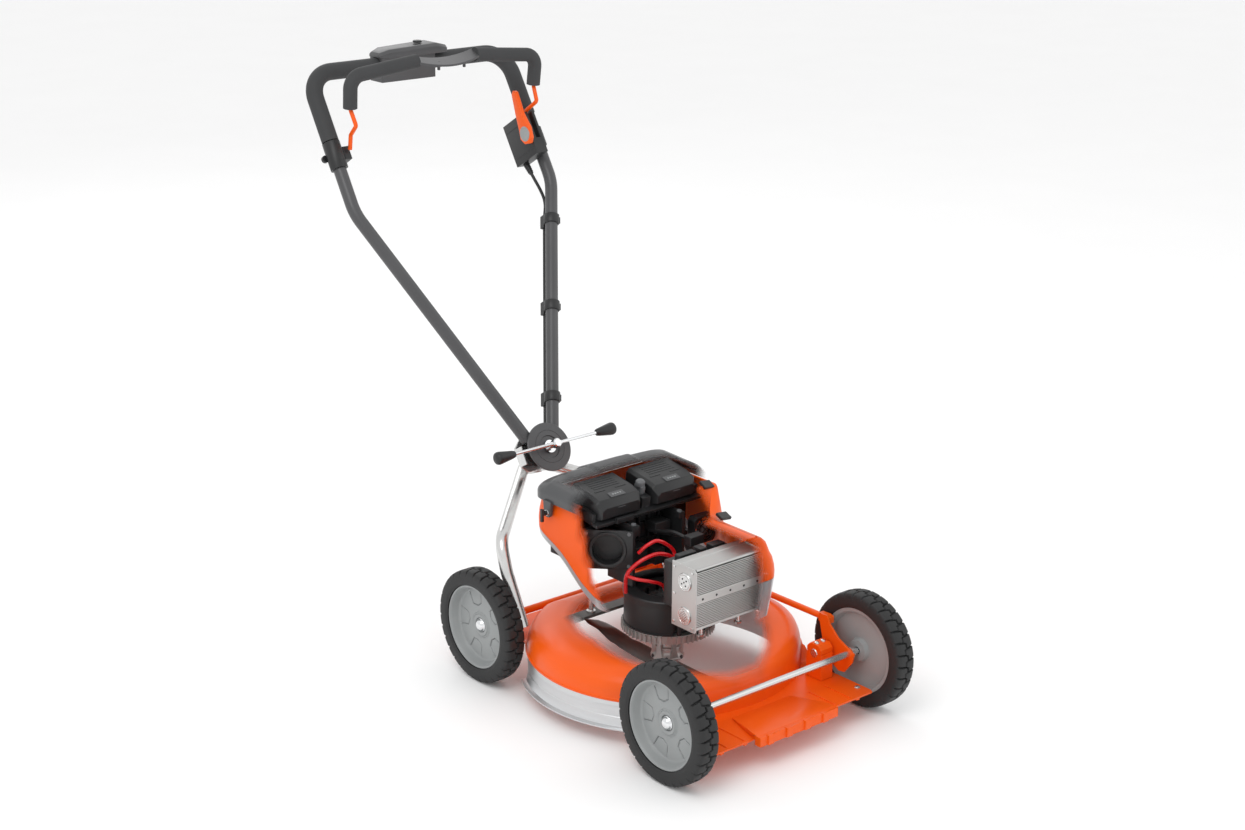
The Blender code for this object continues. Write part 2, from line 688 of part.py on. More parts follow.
def make_heat_sink():
    """The finned extrusion that carries the controller, and its end plate with two glands."""
    y0, y1 = SINK_Y
    z0, z1 = SINK_Z
    mid = (z0 + z1) / 2.0
    depth = 0.010
    pitch = (mid - 0.010 - z0 - 0.003) / FIN_COUNT
    front = []
    for start in (z0 + 0.003, mid + 0.010):
        for i in range(FIN_COUNT):
            z = start + i * pitch
            front += [(y0, z), (y0, z + pitch * 0.45)]
            front += [(y0 + depth, z + pitch * 0.45), (y0 + depth, z + pitch)]
        if start < mid:
            front += [(y0, start + FIN_COUNT * pitch), (y0, mid + 0.010 - GAP)]
    outline = [(y1, z0), (y0, z0)] + front + [(y0, z1), (y0 + 0.006, z1 + 0.002), (y1, z1)]
    body = loft([[(x, y, z) for y, z in outline] for x in (-SINK_HALF_L, SINK_HALF_L)])
    add("heat_sink", body, CAST_METAL)
    x = -SINK_HALF_L - GAP
    plate = [(y1 - 0.001, z0 - 0.006), (y0 + 0.001, z0 - 0.006), (y0 - 0.001, z0 - 0.003),
             (y0 - 0.001, z1 - 0.004), (y0 + 0.005, z1 + 0.002), (y1 - 0.001, z1 + 0.003)]
    plate = loft([[(px, y, z) for y, z in plate] for px in (x - 0.003, x)])
    glands = []
    for z in (z0 + 0.020, z1 - 0.028):
        matrix = frame_matrix((x - 0.002, (y0 + y1) / 2.0 - 0.004, z), (0, 1, 0), (-1, 0, 0))
        glands.append(revolved([(0.0165, 0.0), (0.0165, 0.004), (0.0145, 0.0055)], matrix, 24))
    add("sink_end_plate", fused(plate, *glands), CAST_METAL)
    case = box((-0.070, y1 + GAP, 0.212), (0.070, y1 + 0.034, 0.296))
    add("controller_case", case, BLACK_PLASTIC)


# ---------------------------------------------------------------- battery bay

def battery_matrix(x):
    """Local X is across, local Y runs back up the slope, from the battery's front foot."""
    return Matrix.Translation((x, 0.040, 0.338)) @ Matrix.Rotation(BATTERY_TILT, 4, "X")


def make_batteries():
    """Two pushed-in battery packs with chamfered noses."""
    for name, x in (("left", BATTERY_X), ("right", -BATTERY_X)):
        w = BATTERY_HALF_W
        sections = [(0.000, w - 0.008, 0.004, 0.026), (0.012, w - 0.001, 0.000, 0.038),
                    (0.030, w, 0.000, 0.041), (0.085, w, 0.000, 0.041), (0.092, w - 0.006, 0.004, 0.033)]
        loops = []
        for y, half, low, high in sections:
            c = 0.006
            loops.append([(-half, y, low), (half, y, low), (half, y, high - c), (half - c, y, high),
                          (-half + c, y, high), (-half, y, high - c)])
        add("battery_" + name, moved(loft(loops), battery_matrix(x)), BLACK_PLASTIC, (x, 0.040, 0.338))


def make_battery_tray():
    """The tray under the batteries, with rails that guide them."""
    slope = battery_matrix(0.0)
    floor = tilted_box((0.0, 0.044, -0.0035), (0.252, 0.100, 0.006), slope)
    rails = [tilted_box((x, 0.050, 0.006), (0.007, 0.084, 0.020), slope) for x in (-0.1225, 0.1225)]
    middle = tilted_box((0.0, 0.050, 0.008), (0.020, 0.084, 0.024), slope)
    lip = tilted_box((-0.062, -0.0070, -0.001), (0.040, 0.006, 0.010), slope)
    add("battery_tray", fused(floor, *rails, middle, lip), BLACK_PLASTIC)


def make_duct_housing():
    """The electronics housing: an open-fronted box between an air duct and a fan."""
    outline = [(-0.126, 0.078), (0.126, 0.078), (0.126, 0.168), (-0.126, 0.168)]
    rear = prism(outline, 0.246, 0.318)
    side = box((0.0565, 0.010, 0.2105), (0.0625, 0.0800, 0.327))
    top_boss = box((0.049, 0.010, 0.316), (0.0600, 0.022, 0.3275))
    back = box((-0.0590, 0.072, 0.2105), (0.0590, 0.0790, 0.326))
    corner = frame_matrix(DUCT_CENTRE, (1, -1, 0), (-1, -1, 0))
    duct_plate = moved(ring_plate(square_around(0.0460, 0.0375, 24), circle(DUCT_R, 24, math.pi / 24),
                                  -0.004, 0.0), corner)
    duct = moved(ring_plate(circle(DUCT_R + 0.002, 24), circle(DUCT_R - 0.0025, 24), -0.022, 0.0015),
                 corner)
    wall = frame_matrix(FAN_CENTRE, (1, 0, 0), (0, -1, 0))
    fan_plate = moved(ring_plate(square_around(0.0262, 0.0262, 24), circle(FAN_R + 0.001, 24, math.pi / 24),
                                 -0.016, 0.004), wall)
    post = box((0.1075, 0.0280, 0.250), (0.1215, 0.0800, 0.257))
    add("duct_housing", fused(rear, side, mirrored(side), top_boss, mirrored(top_boss), back,
                              duct_plate, duct, fan_plate, post), BLACK_PLASTIC)


def make_fan():
    """A seven-bladed fan on a small motor hub."""
    matrix = frame_matrix(FAN_CENTRE, (1, 0, 0), (0, -1, 0))
    hub = revolved([(0.009, -0.010), (0.009, 0.001), (0.007, 0.0025)], matrix, 16)
    blades = []
    for i in range(7):
        turn = matrix @ Matrix.Rotation(i * math.tau / 7, 4, "Z")
        loops = []
        for r, half, twist in ((0.0075, 0.0030, 0.9), (0.0228, 0.0065, 0.55)):
            dx, dz = half * math.cos(twist), half * math.sin(twist)
            loops.append([turn @ Vector(p) for p in ((r, -dx, -0.004 - dz), (r, dx, -0.004 + dz),
                                                     (r, dx - 0.0006, -0.0032 + dz),
                                                     (r, -dx - 0.0006, -0.0032 - dz))])
        blades.append(loft(loops))
    add("cooling_fan", fused(hub, *blades), GREY_PLASTIC, FAN_CENTRE)


def make_safety_key():
    """The pull-out key between the batteries."""
    matrix = battery_matrix(0.0)
    stem = tilted_box((0.0, 0.030, 0.028), (0.010, 0.020, 0.014), matrix)
    knob = moved(revolved([(0.009, 0.0340), (0.009, 0.043), (0.006, 0.046)],
                          Matrix.Translation((0.0, 0.030, 0.0)), 16), matrix)
    add("safety_key", fused(stem, knob), GREY_PLASTIC, matrix @ Vector((0.0, 0.030, 0.028)))


def make_leads():
    """Red and black supply leads between the controller, the motor and the housing."""
    red_routes = [
        [(0.016, -0.046, 0.266), (0.008, -0.040, 0.286), (-0.012, -0.032, 0.294), (-0.030, -0.022, 0.276)],
        [(0.016, -0.046, 0.266), (0.002, -0.054, 0.276), (-0.026, -0.056, 0.276), (-0.056, -0.054, 0.252),
         (-0.070, -0.046, 0.222), (-0.072, -0.040, 0.2095)],
        [(-0.070, -0.046, 0.222), (-0.044, -0.062, 0.232), (-0.010, -0.074, 0.226), (0.006, -0.076, 0.216),
         (0.008, -0.074, 0.2000)],
    ]
    radii = (0.0034, 0.0036, 0.0030)
    red = [swept(smooth_path(route, 3), r, 6) for route, r in zip(red_routes, radii)]
    add("red_leads", fused(*red), RED_WIRE)
    black_routes = [
        [(0.028, -0.047, 0.296), (0.020, -0.008, 0.302), (0.016, 0.020, 0.296), (0.014, 0.050, 0.290)],
        [(0.034, -0.047, 0.292), (0.034, -0.008, 0.292), (0.032, 0.020, 0.288), (0.030, 0.050, 0.282)],
    ]
    black = [swept(smooth_path(route, 3), 0.0034, 6) for route in black_routes]
    plug = tilted_box((0.0, 0.0, 0.0), (0.034, 0.020, 0.018),
                      Matrix.Translation((0.030, -0.052, 0.300)))
    add("black_leads", fused(plug, *black), BLACK_PLASTIC)


# ---------------------------------------------------------------- hood and lid

def hood_rows():
    """The hood's outside as rings from the lower edge up over the rim.

    Each ring follows the same outline, seen from above: a wide battery bay at the
    back and a narrow nose over the heat sink.
    """
    half = rounded_path([(0, HOOD_REAR_Y, 0), (-HOOD_HALF_W, HOOD_REAR_Y, 0), (-HOOD_HALF_W, 0.004, 0),
                         (-NOSE_HALF_W, -0.062, 0), (-NOSE_HALF_W, HOOD_NOSE_Y, 0), (0, HOOD_NOSE_Y, 0)],
                        (0.040, 0.034, 0.034, 0.034), steps=6)
    lengths = np.cumsum([0.0] + [(b - a).length for a, b in zip(half, half[1:])])
    places = np.linspace(0.0, lengths[-1], 31)
    left = np.column_stack([np.interp(places, lengths, [p[i] for p in half]) for i in (0, 1)])
    right = left[-2:0:-1] * np.array([-1.0, 1.0])
    line = np.concatenate([left, right])
    ahead, behind = np.roll(line, -1, axis=0), np.roll(line, 1, axis=0)
    normal = (ahead - behind)[:, ::-1] * np.array([-1.0, 1.0])
    normal /= np.linalg.norm(normal, axis=1, keepdims=True)
    y = line[:, 1]
    bottom = np.interp(y, [-0.19, -0.04, 0.0, 0.048, 0.107, 0.200],
                       [0.180, 0.182, 0.190, 0.212, 0.258, 0.300])
    seam = bottom + np.interp(y, [-0.19, -0.10, 0.0, 0.20], [0.074, 0.050, 0.018, 0.009])
    edge = 0.300 + (LID_SEAM_Z - 0.300) * smoothstep(-0.062, 0.014, y)
    crown = 0.327 + (0.366 - 0.327) * smoothstep(-0.058, 0.014, y)
    rows = []
    bay = smoothstep(-0.060, 0.020, y)
    levels = ((bottom, 0.14 * (seam - bottom)), (seam, 0.0), (seam * 0.5 + edge * 0.5, 0.001),
              (edge, 0.010), (edge * 0.35 + crown * 0.65, 0.017 - 0.004 * bay),
              (crown, 0.036 - 0.018 * bay))
    for height, inset in levels:
        plan = line + normal * np.reshape(inset, (-1, 1))
        rows.append(np.column_stack([plan, height]))
    return np.array(rows)


def hood_kept(cells):
    """Which cells stay: the front and the right-hand middle are cut away to show the drive."""
    x, y, z = cells[..., 0], cells[..., 1], cells[..., 2]
    front_cut = (x < 0.052) & (y < 0.45 * (z - 0.190) - 0.010)
    return ~front_cut


def cell_centres(grid):
    """Middle point of every cell of a wrapped grid."""
    ahead = np.roll(grid, -1, axis=1)
    return (grid[:-1] + grid[1:] + ahead[:-1] + ahead[1:]) / 4.0


def make_hood():
    """The orange hood, its silver lower band and the two vent covers."""
    rows = hood_rows()
    inner = offset_grid(rows, HOOD_WALL, wrap=True)
    keep = hood_kept(cell_centres(rows))
    add("hood", masked_shell(rows[1:], inner[1:], keep[1:], wrap=True), ORANGE_PLASTIC)
    band, band_inner = rows[:2].copy(), inner[:2].copy()
    band[1, :, 2] -= GAP
    band_inner[1, :, 2] -= GAP
    add("hood_trim", masked_shell(band, band_inner, keep[:1], wrap=True), TRIM_SILVER)


def lid_height(x, y, half_w):
    """Height of the lid above its seam: a flat crown that falls to the rim."""
    across = np.clip(1.0 - np.abs(x / half_w) ** 6, 0.0, 1.0) ** 0.5
    along = np.interp(y, [LID_FRONT_Y, 0.066, 0.152, 0.196], [0.004, 0.029, 0.032, 0.006])
    raised = 0.004 * (1.0 - smoothstep(0.045, 0.053, np.abs(x))) * smoothstep(0.055, 0.075, y)
    return along * across + raised * across


def make_lid():
    """The grey lid over the batteries, cut open in front, and its turning latch."""
    ys = np.array([0.2015, 0.1995, 0.193, 0.180, 0.166, 0.152, 0.136, 0.120, 0.095, 0.070, 0.055,
                   LID_FRONT_Y])
    us = np.concatenate([-1.0 + 0.18 * np.linspace(0, 1, 4) ** 1.6, np.linspace(-0.66, 0.66, 9),
                         1.0 - 0.18 * np.linspace(1, 0, 4) ** 1.6])
    grid = []
    for y in ys:
        half_w = HOOD_HALF_W + 0.003 - 0.030 * max(0.0, (y - 0.160) / 0.040) ** 2.2
        x = us * half_w
        height = LID_SEAM_Z + GAP + 0.006 + lid_height(x, y, half_w)
        grid.append(np.column_stack([x, np.full_like(x, y), height]))
    outer = np.array(grid)
    rim = outer.copy()
    outer = np.concatenate([outer[:, :1] + [0, 0, -0.012], rim, outer[:, -1:] + [0, 0, -0.012]], axis=1)
    outer[:, 0, 2] = LID_SEAM_Z - 0.004
    outer[:, -1, 2] = LID_SEAM_Z - 0.004
    outer[0, :, 2] = LID_SEAM_Z - 0.004
    inner = outer.copy()
    inner[:, :, 2] -= 0.0026
    inner[:, :2, 0] += 0.0024
    inner[:, -2:, 0] -= 0.0024
    inner[:2, :, 1] -= 0.0024
    inner[:, 0, 2] += 0.0026
    inner[:, -1, 2] += 0.0026
    inner[0, 1:-1, 2] += 0.0026
    centres = (outer[:-1, :-1] + outer[1:, 1:]) / 2.0
    keep = ~((np.abs(centres[..., 0] + 0.004) < 0.122) & (centres[..., 1] < 0.130))
    shell = masked_shell(outer, inner, keep, wrap=False)
    outline = [(0.128, 0.3620), (0.150, 0.3620), (0.148, 0.336), (0.142, 0.331), (0.134, 0.331),
               (0.130, 0.336)]
    x = -HOOD_HALF_W - 0.0035
    tab = loft([[(px, y, z) for y, z in outline] for px in (x - 0.004, x + 0.0030)])
    add("lid", fused(shell, tab), LID_PLASTIC, LID_HINGE)
    centre = Vector((x - 0.004 - GAP, 0.139, 0.3395))
    matrix = frame_matrix(centre, (0, 0, 1), (-1, 0, 0))
    stem = revolved([(0.0045, 0.0), (0.0045, 0.0100)], matrix, 12)
    bar = tilted_box((-0.003, 0.0, 0.0105), (0.024, 0.006, 0.0045), matrix)
    add("lid_latch", fused(stem, bar), BLACK_PLASTIC, centre)


# ---------------------------------------------------------------- frame, clamp and handle

def make_frame():
    """The two bent lower tubes and the cross pin that joins their tops."""
    top = (-0.0262, TILT_PIVOT.y, TILT_PIVOT.z)
    path = rounded_path([(-0.1995, 0.156, 0.119), (-0.1995, 0.205, 0.212), (-0.197, 0.226, 0.266), top],
                        (0.10, 0.045), steps=4)
    tube = swept(path, FRAME_R, 10)
    pin = rod((-0.0300, TILT_PIVOT.y, TILT_PIVOT.z), (0.0300, TILT_PIVOT.y, TILT_PIVOT.z), 0.0080, 12)
    add("frame_tubes", fused(pin, tube, mirrored(tube)), ZINC)


def clamp_matrix():
    """Local Z is the clamp screw's axis, pointing forwards; local X is across."""
    return frame_matrix(CLAMP_CENTRE, (1, 0, 0), CLAMP_AXIS)


def make_yoke():
    """The tilting yoke: a plate with two cheeks, and two eyes on the frame's cross pin."""
    matrix = clamp_matrix()
    outline = [(-0.040, -0.034), (0.040, -0.034), (0.0545, -0.022), (0.0545, 0.018), (0.036, 0.034),
               (-0.036, 0.034), (-0.0545, 0.018), (-0.0545, -0.022)]
    plate = moved(prism(outline, -0.034, -0.029), matrix)
    cheek = moved(box((0.0505, -0.020, -0.031), (0.0545, 0.016, -0.010)), matrix)
    pivot = matrix.inverted() @ TILT_PIVOT
    eyes = []
    for x in (-0.0145, 0.0095):
        inner = circle(0.0082, 16)
        outer = circle(0.0135, 16)
        for i, (px, py) in enumerate(outer):
            if px > 0.004:
                outer[i] = (-0.032 - pivot.z, py + 0.006)
        eye = frame_matrix(matrix @ Vector((x, pivot.y, pivot.z)), CLAMP_AXIS, (1, 0, 0))
        eyes.append(moved(ring_plate(outer, inner, 0.0, 0.005), eye))
    add("clamp_yoke", fused(plate, cheek, mirrored(cheek), *eyes), ZINC, TILT_PIVOT)


def make_clamp():
    """Friction disc and the T-handled clamp screw with its two knobs."""
    matrix = clamp_matrix()
    disc = [(0.0058, 0.0), (0.0480, 0.0), (0.0480, 0.005), (0.0225, 0.0052), (0.0215, 0.0030),
            (0.0120, 0.0030), (0.0110, 0.0060), (0.0058, 0.0060)]
    add("friction_disc", revolved(disc, matrix, 28, hollow=True), DARK_PAINT, CLAMP_CENTRE)
    screw = [(0.0055, -0.0285), (0.0055, 0.0065), (0.0085, 0.0068), (0.0085, 0.0085), (0.0055, 0.0087),
             (0.0055, 0.022), (0.0088, 0.0222), (0.0088, 0.0330), (0.0060, 0.0345)]
    arms = []
    for name, side in (("right", -1), ("left", 1)):
        arm = frame_matrix(matrix @ Vector((0, 0, 0.0275)), (0, 0, 1), (side, 0, 0))
        arms.append(revolved([(0.0032, 0.0050), (0.0032, 0.0985)], arm, 10))
        knob = [(0.0062, 0.0990), (0.0080, 0.1000), (0.0125, 0.1340), (0.0115, 0.1410), (0.0060, 0.1440)]
        add("clamp_knob_" + name, revolved(knob, arm, 14), BLACK_PLASTIC, CLAMP_CENTRE)
    add("clamp_screw", fused(revolved(screw, matrix, 12), *arms), ZINC, CLAMP_CENTRE)


def handle_path():
    """The handle's centre line from the left foot over the top to the right foot."""
    def flip(p):
        return Vector((-p.x, p.y, p.z))
    corners = [HANDLE_FOOT, HANDLE_KINK, HANDLE_TOP]
    points = corners + [flip(p) for p in reversed(corners)]
    return rounded_path(points, (0.10, 0.052, 0.052, 0.10), steps=6)


def path_part(path, first, last):
    """The stretch of a polyline between two distances from its start."""
    lengths = np.cumsum([0.0] + [(b - a).length for a, b in zip(path, path[1:])])
    stops = [first] + [s for s in lengths if first < s < last] + [last]
    return [Vector([np.interp(s, lengths, [p[i] for p in path]) for i in range(3)]) for s in stops]


def path_length(path):
    """Length of a polyline."""
    return sum((b - a).length for a, b in zip(path, path[1:]))


def make_handle():
    """The bent tube, its socket plate and the soft grip over its top."""
    path = handle_path()
    add("handle_tube", swept(path, TUBE_R, 10, bore=TUBE_R - TUBE_WALL), DARK_PAINT, CLAMP_CENTRE)
    total = path_length(path)
    grip = path_part(path, 0.685, total - 0.685)
    add("grip", swept(grip, GRIP_R, 10, bore=TUBE_R + GAP), FOAM, CLAMP_CENTRE)
    add("handle_socket", socket_plate(), BLACK_PLASTIC, CLAMP_CENTRE)


def socket_plate():
    """The plate behind the friction disc, with two short arms to the tubes' feet."""
    count = 32
    foot = clamp_matrix().inverted() @ HANDLE_FOOT
    reach = math.hypot(foot.x, foot.y) - 0.0015
    outline = []
    for x, y in circle(1.0, count):
        toward = (abs(x) * foot.x + y * foot.y) / math.hypot(foot.x, foot.y)
        radius = reach if toward > 0.970 else 0.030
        outline.append((x * radius, y * radius))
    return moved(ring_plate(outline, circle(0.0058, count), foot.z - 0.004, foot.z + 0.004), clamp_matrix())


def tube_frame(distance, side):
    """A matrix on the handle tube: local Z along the tube, local X outwards."""
    path = handle_path()
    if side < 0:
        path = path[::-1]
    point, ahead = path_part(path, distance, distance + 0.002)
    return frame_matrix(point, (side, 0, 0), ahead - point)


def make_brackets():
    """The bail's right-hand bracket and the left-hand switch box.

    The box has a slot in its top, where the bail's left end swings.
    """
    matrix = tube_frame(BRACKET_PLACE, -1)
    sleeve = moved(ring_plate(circle(0.0172, 16), circle(TUBE_R + GAP, 16), -0.027, 0.027), matrix)
    ear = moved(box((-0.030, -0.014, -0.012), (-0.0155, 0.008, 0.014)), matrix)
    add("bail_bracket", fused(sleeve, ear), BLACK_PLASTIC, CLAMP_CENTRE)
    frame = tube_frame(SWITCH_BOX_PLACE, 1)
    body = [(-0.043, -0.044), (-0.0155, -0.044), (-0.0155, 0.044), (-0.0215, 0.044), (-0.0215, -0.012),
            (-0.0320, -0.012), (-0.0320, 0.044), (-0.043, 0.044)]
    case = loft([[frame @ Vector((x, y, z)) for x, z in body] for y in (-0.043, 0.035)])
    band = moved(ring_plate(circle(0.0172, 16), circle(TUBE_R + GAP, 16), -0.020, 0.020), frame)
    add("switch_box", fused(case, band), BLACK_PLASTIC, CLAMP_CENTRE)


def make_cable():
    """The control cable from the switch box down the clips of the left tube."""
    start = tube_frame(SWITCH_BOX_PLACE, 1) @ Vector((-0.030, 0.020, -0.0460))
    relief = tube_frame(SWITCH_BOX_PLACE, 1) @ Vector((-0.030, 0.014, -0.070))
    points = [start, relief]
    for distance in (0.505, 0.454, 0.360, 0.267, 0.172, 0.076, 0.024):
        points.append(tube_frame(distance, 1) @ Vector((-0.004, 0.0205, 0.0)))
    add("control_cable", swept(smooth_path(points, 3), 0.0032, 6), BLACK_PLASTIC, CLAMP_CENTRE)


def make_panel():
    """The switch panel that straddles the top bar, with its power button."""
    y, z = HANDLE_TOP.y, HANDLE_TOP.z
    low = z + GRIP_R + GAP
    loops = []
    for x, half, top in ((-0.080, 0.020, low + 0.010), (-0.060, 0.026, low + 0.016),
                         (0.050, 0.028, low + 0.020), (0.076, 0.022, low + 0.013)):
        loops.append([(x, y - half, low), (x, y + half, low), (x, y + half, top - 0.005),
                      (x, y + half - 0.006, top), (x, y - half + 0.006, top), (x, y - half, top - 0.005)])
    under = box((-0.078, y - 0.0205, z - GRIP_R - 0.014), (0.048, y + 0.0205, low + 0.004))
    bar = rod((-0.100, y, z), (0.100, y, z), GRIP_R + 0.0010, 24)
    add("control_panel", combined(joined(loft(loops), under), bar, "DIFFERENCE"), DARK_PAINT, CLAMP_CENTRE)
    centre = Vector((0.020, y, low + 0.0208))
    button = revolved([(0.009, 0.0), (0.009, 0.003), (0.0075, 0.004)], Matrix.Translation(centre), 20)
    add("power_button", button, BLACK_PLASTIC, centre)


def make_bail():
    """The operator's bail: a bent rod, soft sleeves and a palm plate in the middle."""
    half = BAIL_HALF_W
    sleeves = []
    for name, side in (("right", -1), ("left", 1)):
        rod_path = rounded_path([(side * BAIL_END_X, BAIL_PIVOT.y, BAIL_PIVOT.z + 0.003),
                                 (side * BAIL_END_X, 0.664, 0.956), (side * 0.214, 0.636, 0.978),
                                 (side * half, 0.6495, 1.0065)], (0.006, 0.006), steps=3)
        add("bail_rod_" + name, swept(rod_path, 0.0040, 8), ORANGE_PLASTIC, BAIL_PIVOT)
        sleeve = rounded_path([(side * half, 0.6505, 1.0096), (side * (half + 0.0015), 0.6440, 1.0690),
                               (side * 0.068, 0.6440, 1.0840)], (0.026,), steps=6)
        sleeves.append(swept(sleeve, 0.0135, 12))
    stations = [(-0.0705, 0.0), (-0.045, 0.7), (-0.015, 1.0), (0.015, 1.0), (0.045, 0.7), (0.0705, 0.0)]
    loops = []
    for x, scoop in stations:
        z = 1.084 - 0.010 * scoop
        depth = 0.013 + 0.010 * scoop
        loops.append([(x, 0.644 - depth, z - 0.004), (x, 0.644 + 0.013, z + 0.006),
                      (x, 0.644 + 0.013, z + 0.010), (x, 0.644 - depth, z + 0.0)])
    pegs = [rod((x, 0.640, 1.0625), (x, 0.640, 1.0800), 0.0030, 8) for x in (-0.020, 0.040)]
    add("bail_handle", fused(loft(loops), *sleeves, *pegs), DARK_PAINT, BAIL_PIVOT)


def make_start_lever():
    """The orange start lever on the switch box, with a plain grey disc at its hub."""
    x0, x1 = START_PIVOT.x - 0.016, START_PIVOT.x - 0.006
    outline = [(0.6130, 0.912), (0.6170, 0.900), (0.6310, 0.8960), (0.6450, 0.9030), (0.6500, 0.9200),
               (0.6620, 0.9520), (0.6740, 0.9900), (0.6700, 0.9980), (0.6630, 0.9960), (0.6420, 0.9560),
               (0.6200, 0.9320)]
    lever = loft([[(x, y, z) for y, z in outline] for x in (x0, x1)])
    add("start_lever", lever, ORANGE_PLASTIC, START_PIVOT)


def centre_model():
    """Move every piece so that the origin is the bottom centre of the whole mower."""
    corners = []
    for obj in bpy.data.objects:
        if obj.type == "MESH":
            corners += [obj.location + v.co for v in obj.data.vertices]
    low = min(c.y for c in corners)
    high = max(c.y for c in corners)
    for obj in bpy.data.objects:
        obj.location.y -= (low + high) / 2.0


def main():
    """Build the whole mower."""
    make_deck()
    make_skirts()
    make_front_guard()
    make_cross_bar()
    for end, y in (("front", FRONT_AXLE_Y), ("rear", REAR_AXLE_Y)):
        make_wheel(end + "_left", y, 1)
        make_wheel(end + "_right", y, -1)
    make_axle("front_axle", FRONT_AXLE_Y, FRONT_PIVOT, 0.0062, front_crank())
    make_axle("rear_axle", REAR_AXLE_Y, REAR_PIVOT, 0.0070, rear_crank())
    make_height_lever()
    make_link_rod()
    make_pivot_blocks()
    make_blade()
    make_rotor()
    make_motor()
    make_heat_sink()
    make_batteries()
    make_battery_tray()
    make_duct_housing()
    make_fan()
    make_safety_key()
    make_leads()
    make_hood()
    make_lid()
    make_frame()
    make_yoke()
    make_clamp()
    make_handle()
    make_brackets()
    make_cable()
    make_panel()
    make_bail()
    make_start_lever()
    centre_model()


clear_scene()
main()
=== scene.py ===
import json
import logging
import math
from dataclasses import dataclass, field
from enum import Enum
from typing import Callable, Optional, Sequence

import bmesh
import bpy
import numpy as np
from mathutils import Matrix, Vector

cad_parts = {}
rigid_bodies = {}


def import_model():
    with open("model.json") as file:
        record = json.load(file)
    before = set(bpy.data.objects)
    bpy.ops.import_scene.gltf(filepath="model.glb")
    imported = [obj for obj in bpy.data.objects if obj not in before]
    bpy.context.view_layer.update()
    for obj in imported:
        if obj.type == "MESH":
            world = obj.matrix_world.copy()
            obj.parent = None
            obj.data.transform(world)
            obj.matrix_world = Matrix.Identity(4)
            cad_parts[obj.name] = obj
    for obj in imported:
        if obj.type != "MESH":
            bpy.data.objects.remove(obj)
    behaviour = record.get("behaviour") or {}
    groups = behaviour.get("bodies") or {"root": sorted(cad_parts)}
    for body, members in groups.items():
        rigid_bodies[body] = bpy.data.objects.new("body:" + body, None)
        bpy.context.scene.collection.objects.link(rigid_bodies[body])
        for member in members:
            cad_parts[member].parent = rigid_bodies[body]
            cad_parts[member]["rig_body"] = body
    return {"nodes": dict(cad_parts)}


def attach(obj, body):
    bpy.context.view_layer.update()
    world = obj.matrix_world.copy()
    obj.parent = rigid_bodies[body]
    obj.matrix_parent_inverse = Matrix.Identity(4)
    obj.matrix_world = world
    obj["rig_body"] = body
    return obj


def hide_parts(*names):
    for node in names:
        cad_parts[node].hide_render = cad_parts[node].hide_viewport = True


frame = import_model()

LOG = logging.getLogger("mower")

# The round deck's centre in Y; +X is the mower's left, -Y its front, the ground is Z = 0.
DECK_Y = -0.2004
MOTOR_Y = DECK_Y - 0.018
FRONT_AXLE_Y = DECK_Y - 0.2863
REAR_AXLE_Y = DECK_Y + 0.2356

# Stands an outline of (y, z) pairs upright, to be carried along X.
ALONG_X = Matrix(((0, 0, 1, 0), (1, 0, 0, 0), (0, 1, 0, 0), (0, 0, 0, 1)))

Colour = tuple[float, float, float]
FadeRule = Callable[[np.ndarray], np.ndarray]


# ---------------------------------------------------------------- shapes


@dataclass
class Shape:
    """Closed surfaces: an (n, 3) array of points, and faces as tuples of their numbers."""

    points: np.ndarray
    faces: list[tuple[int, ...]]

    def moved(self, matrix: Matrix) -> "Shape":
        """The same faces with every point p at matrix · p."""
        turn = np.array(matrix.to_3x3())
        return Shape(self.points @ turn.T + np.array(matrix.translation), self.faces)

    def mirrored(self) -> "Shape":
        """The shape's mirror image across the plane X = 0."""
        flipped = [face[::-1] for face in self.faces]
        return Shape(self.points * np.array([-1.0, 1.0, 1.0]), flipped)


def together(*shapes: Shape) -> Shape:
    """Several shapes as one, their points listed one after another."""
    faces: list[tuple[int, ...]] = []
    start = 0
    for shape in shapes:
        faces += [tuple(start + i for i in face) for face in shape.faces]
        start += len(shape.points)
    return Shape(np.concatenate([shape.points for shape in shapes]), faces)


def grid_faces(rows: int, columns: int, ring: bool, wrap: bool) -> list[tuple[int, ...]]:
    """Quads of a grid of points numbered row by row.

    Args:
        rows: Number of rows.
        columns: Number of points in a row.
        ring: Whether the last row joins the first.
        wrap: Whether the last column joins the first.

    Returns:
        One tuple of four point numbers for each cell.
    """
    i, j = np.meshgrid(np.arange(rows - (not ring)), np.arange(columns - (not wrap)), indexing="ij")
    below, beside = (i + 1) % rows, (j + 1) % columns
    corners = (i * columns + j, i * columns + beside, below * columns + beside, below * columns + j)
    quads = np.stack(corners, axis=-1).reshape(-1, 4)
    return [tuple(quad) for quad in quads.tolist()]


def lofted(loops: np.ndarray, ring: bool = False) -> Shape:
    """A skin through closed loops, with flat ends unless it closes into a ring.

    Args:
        loops: Points as (loop, place on the loop, xyz).
        ring: Whether the last loop joins the first.

    Returns:
        The closed shape.
    """
    rows, columns = loops.shape[:2]
    faces = grid_faces(rows, columns, ring, True)
    if not ring:
        faces.append(tuple(range(columns))[::-1])
        faces.append(tuple(range((rows - 1) * columns, rows * columns)))
    return Shape(loops.reshape(-1, 3), faces)


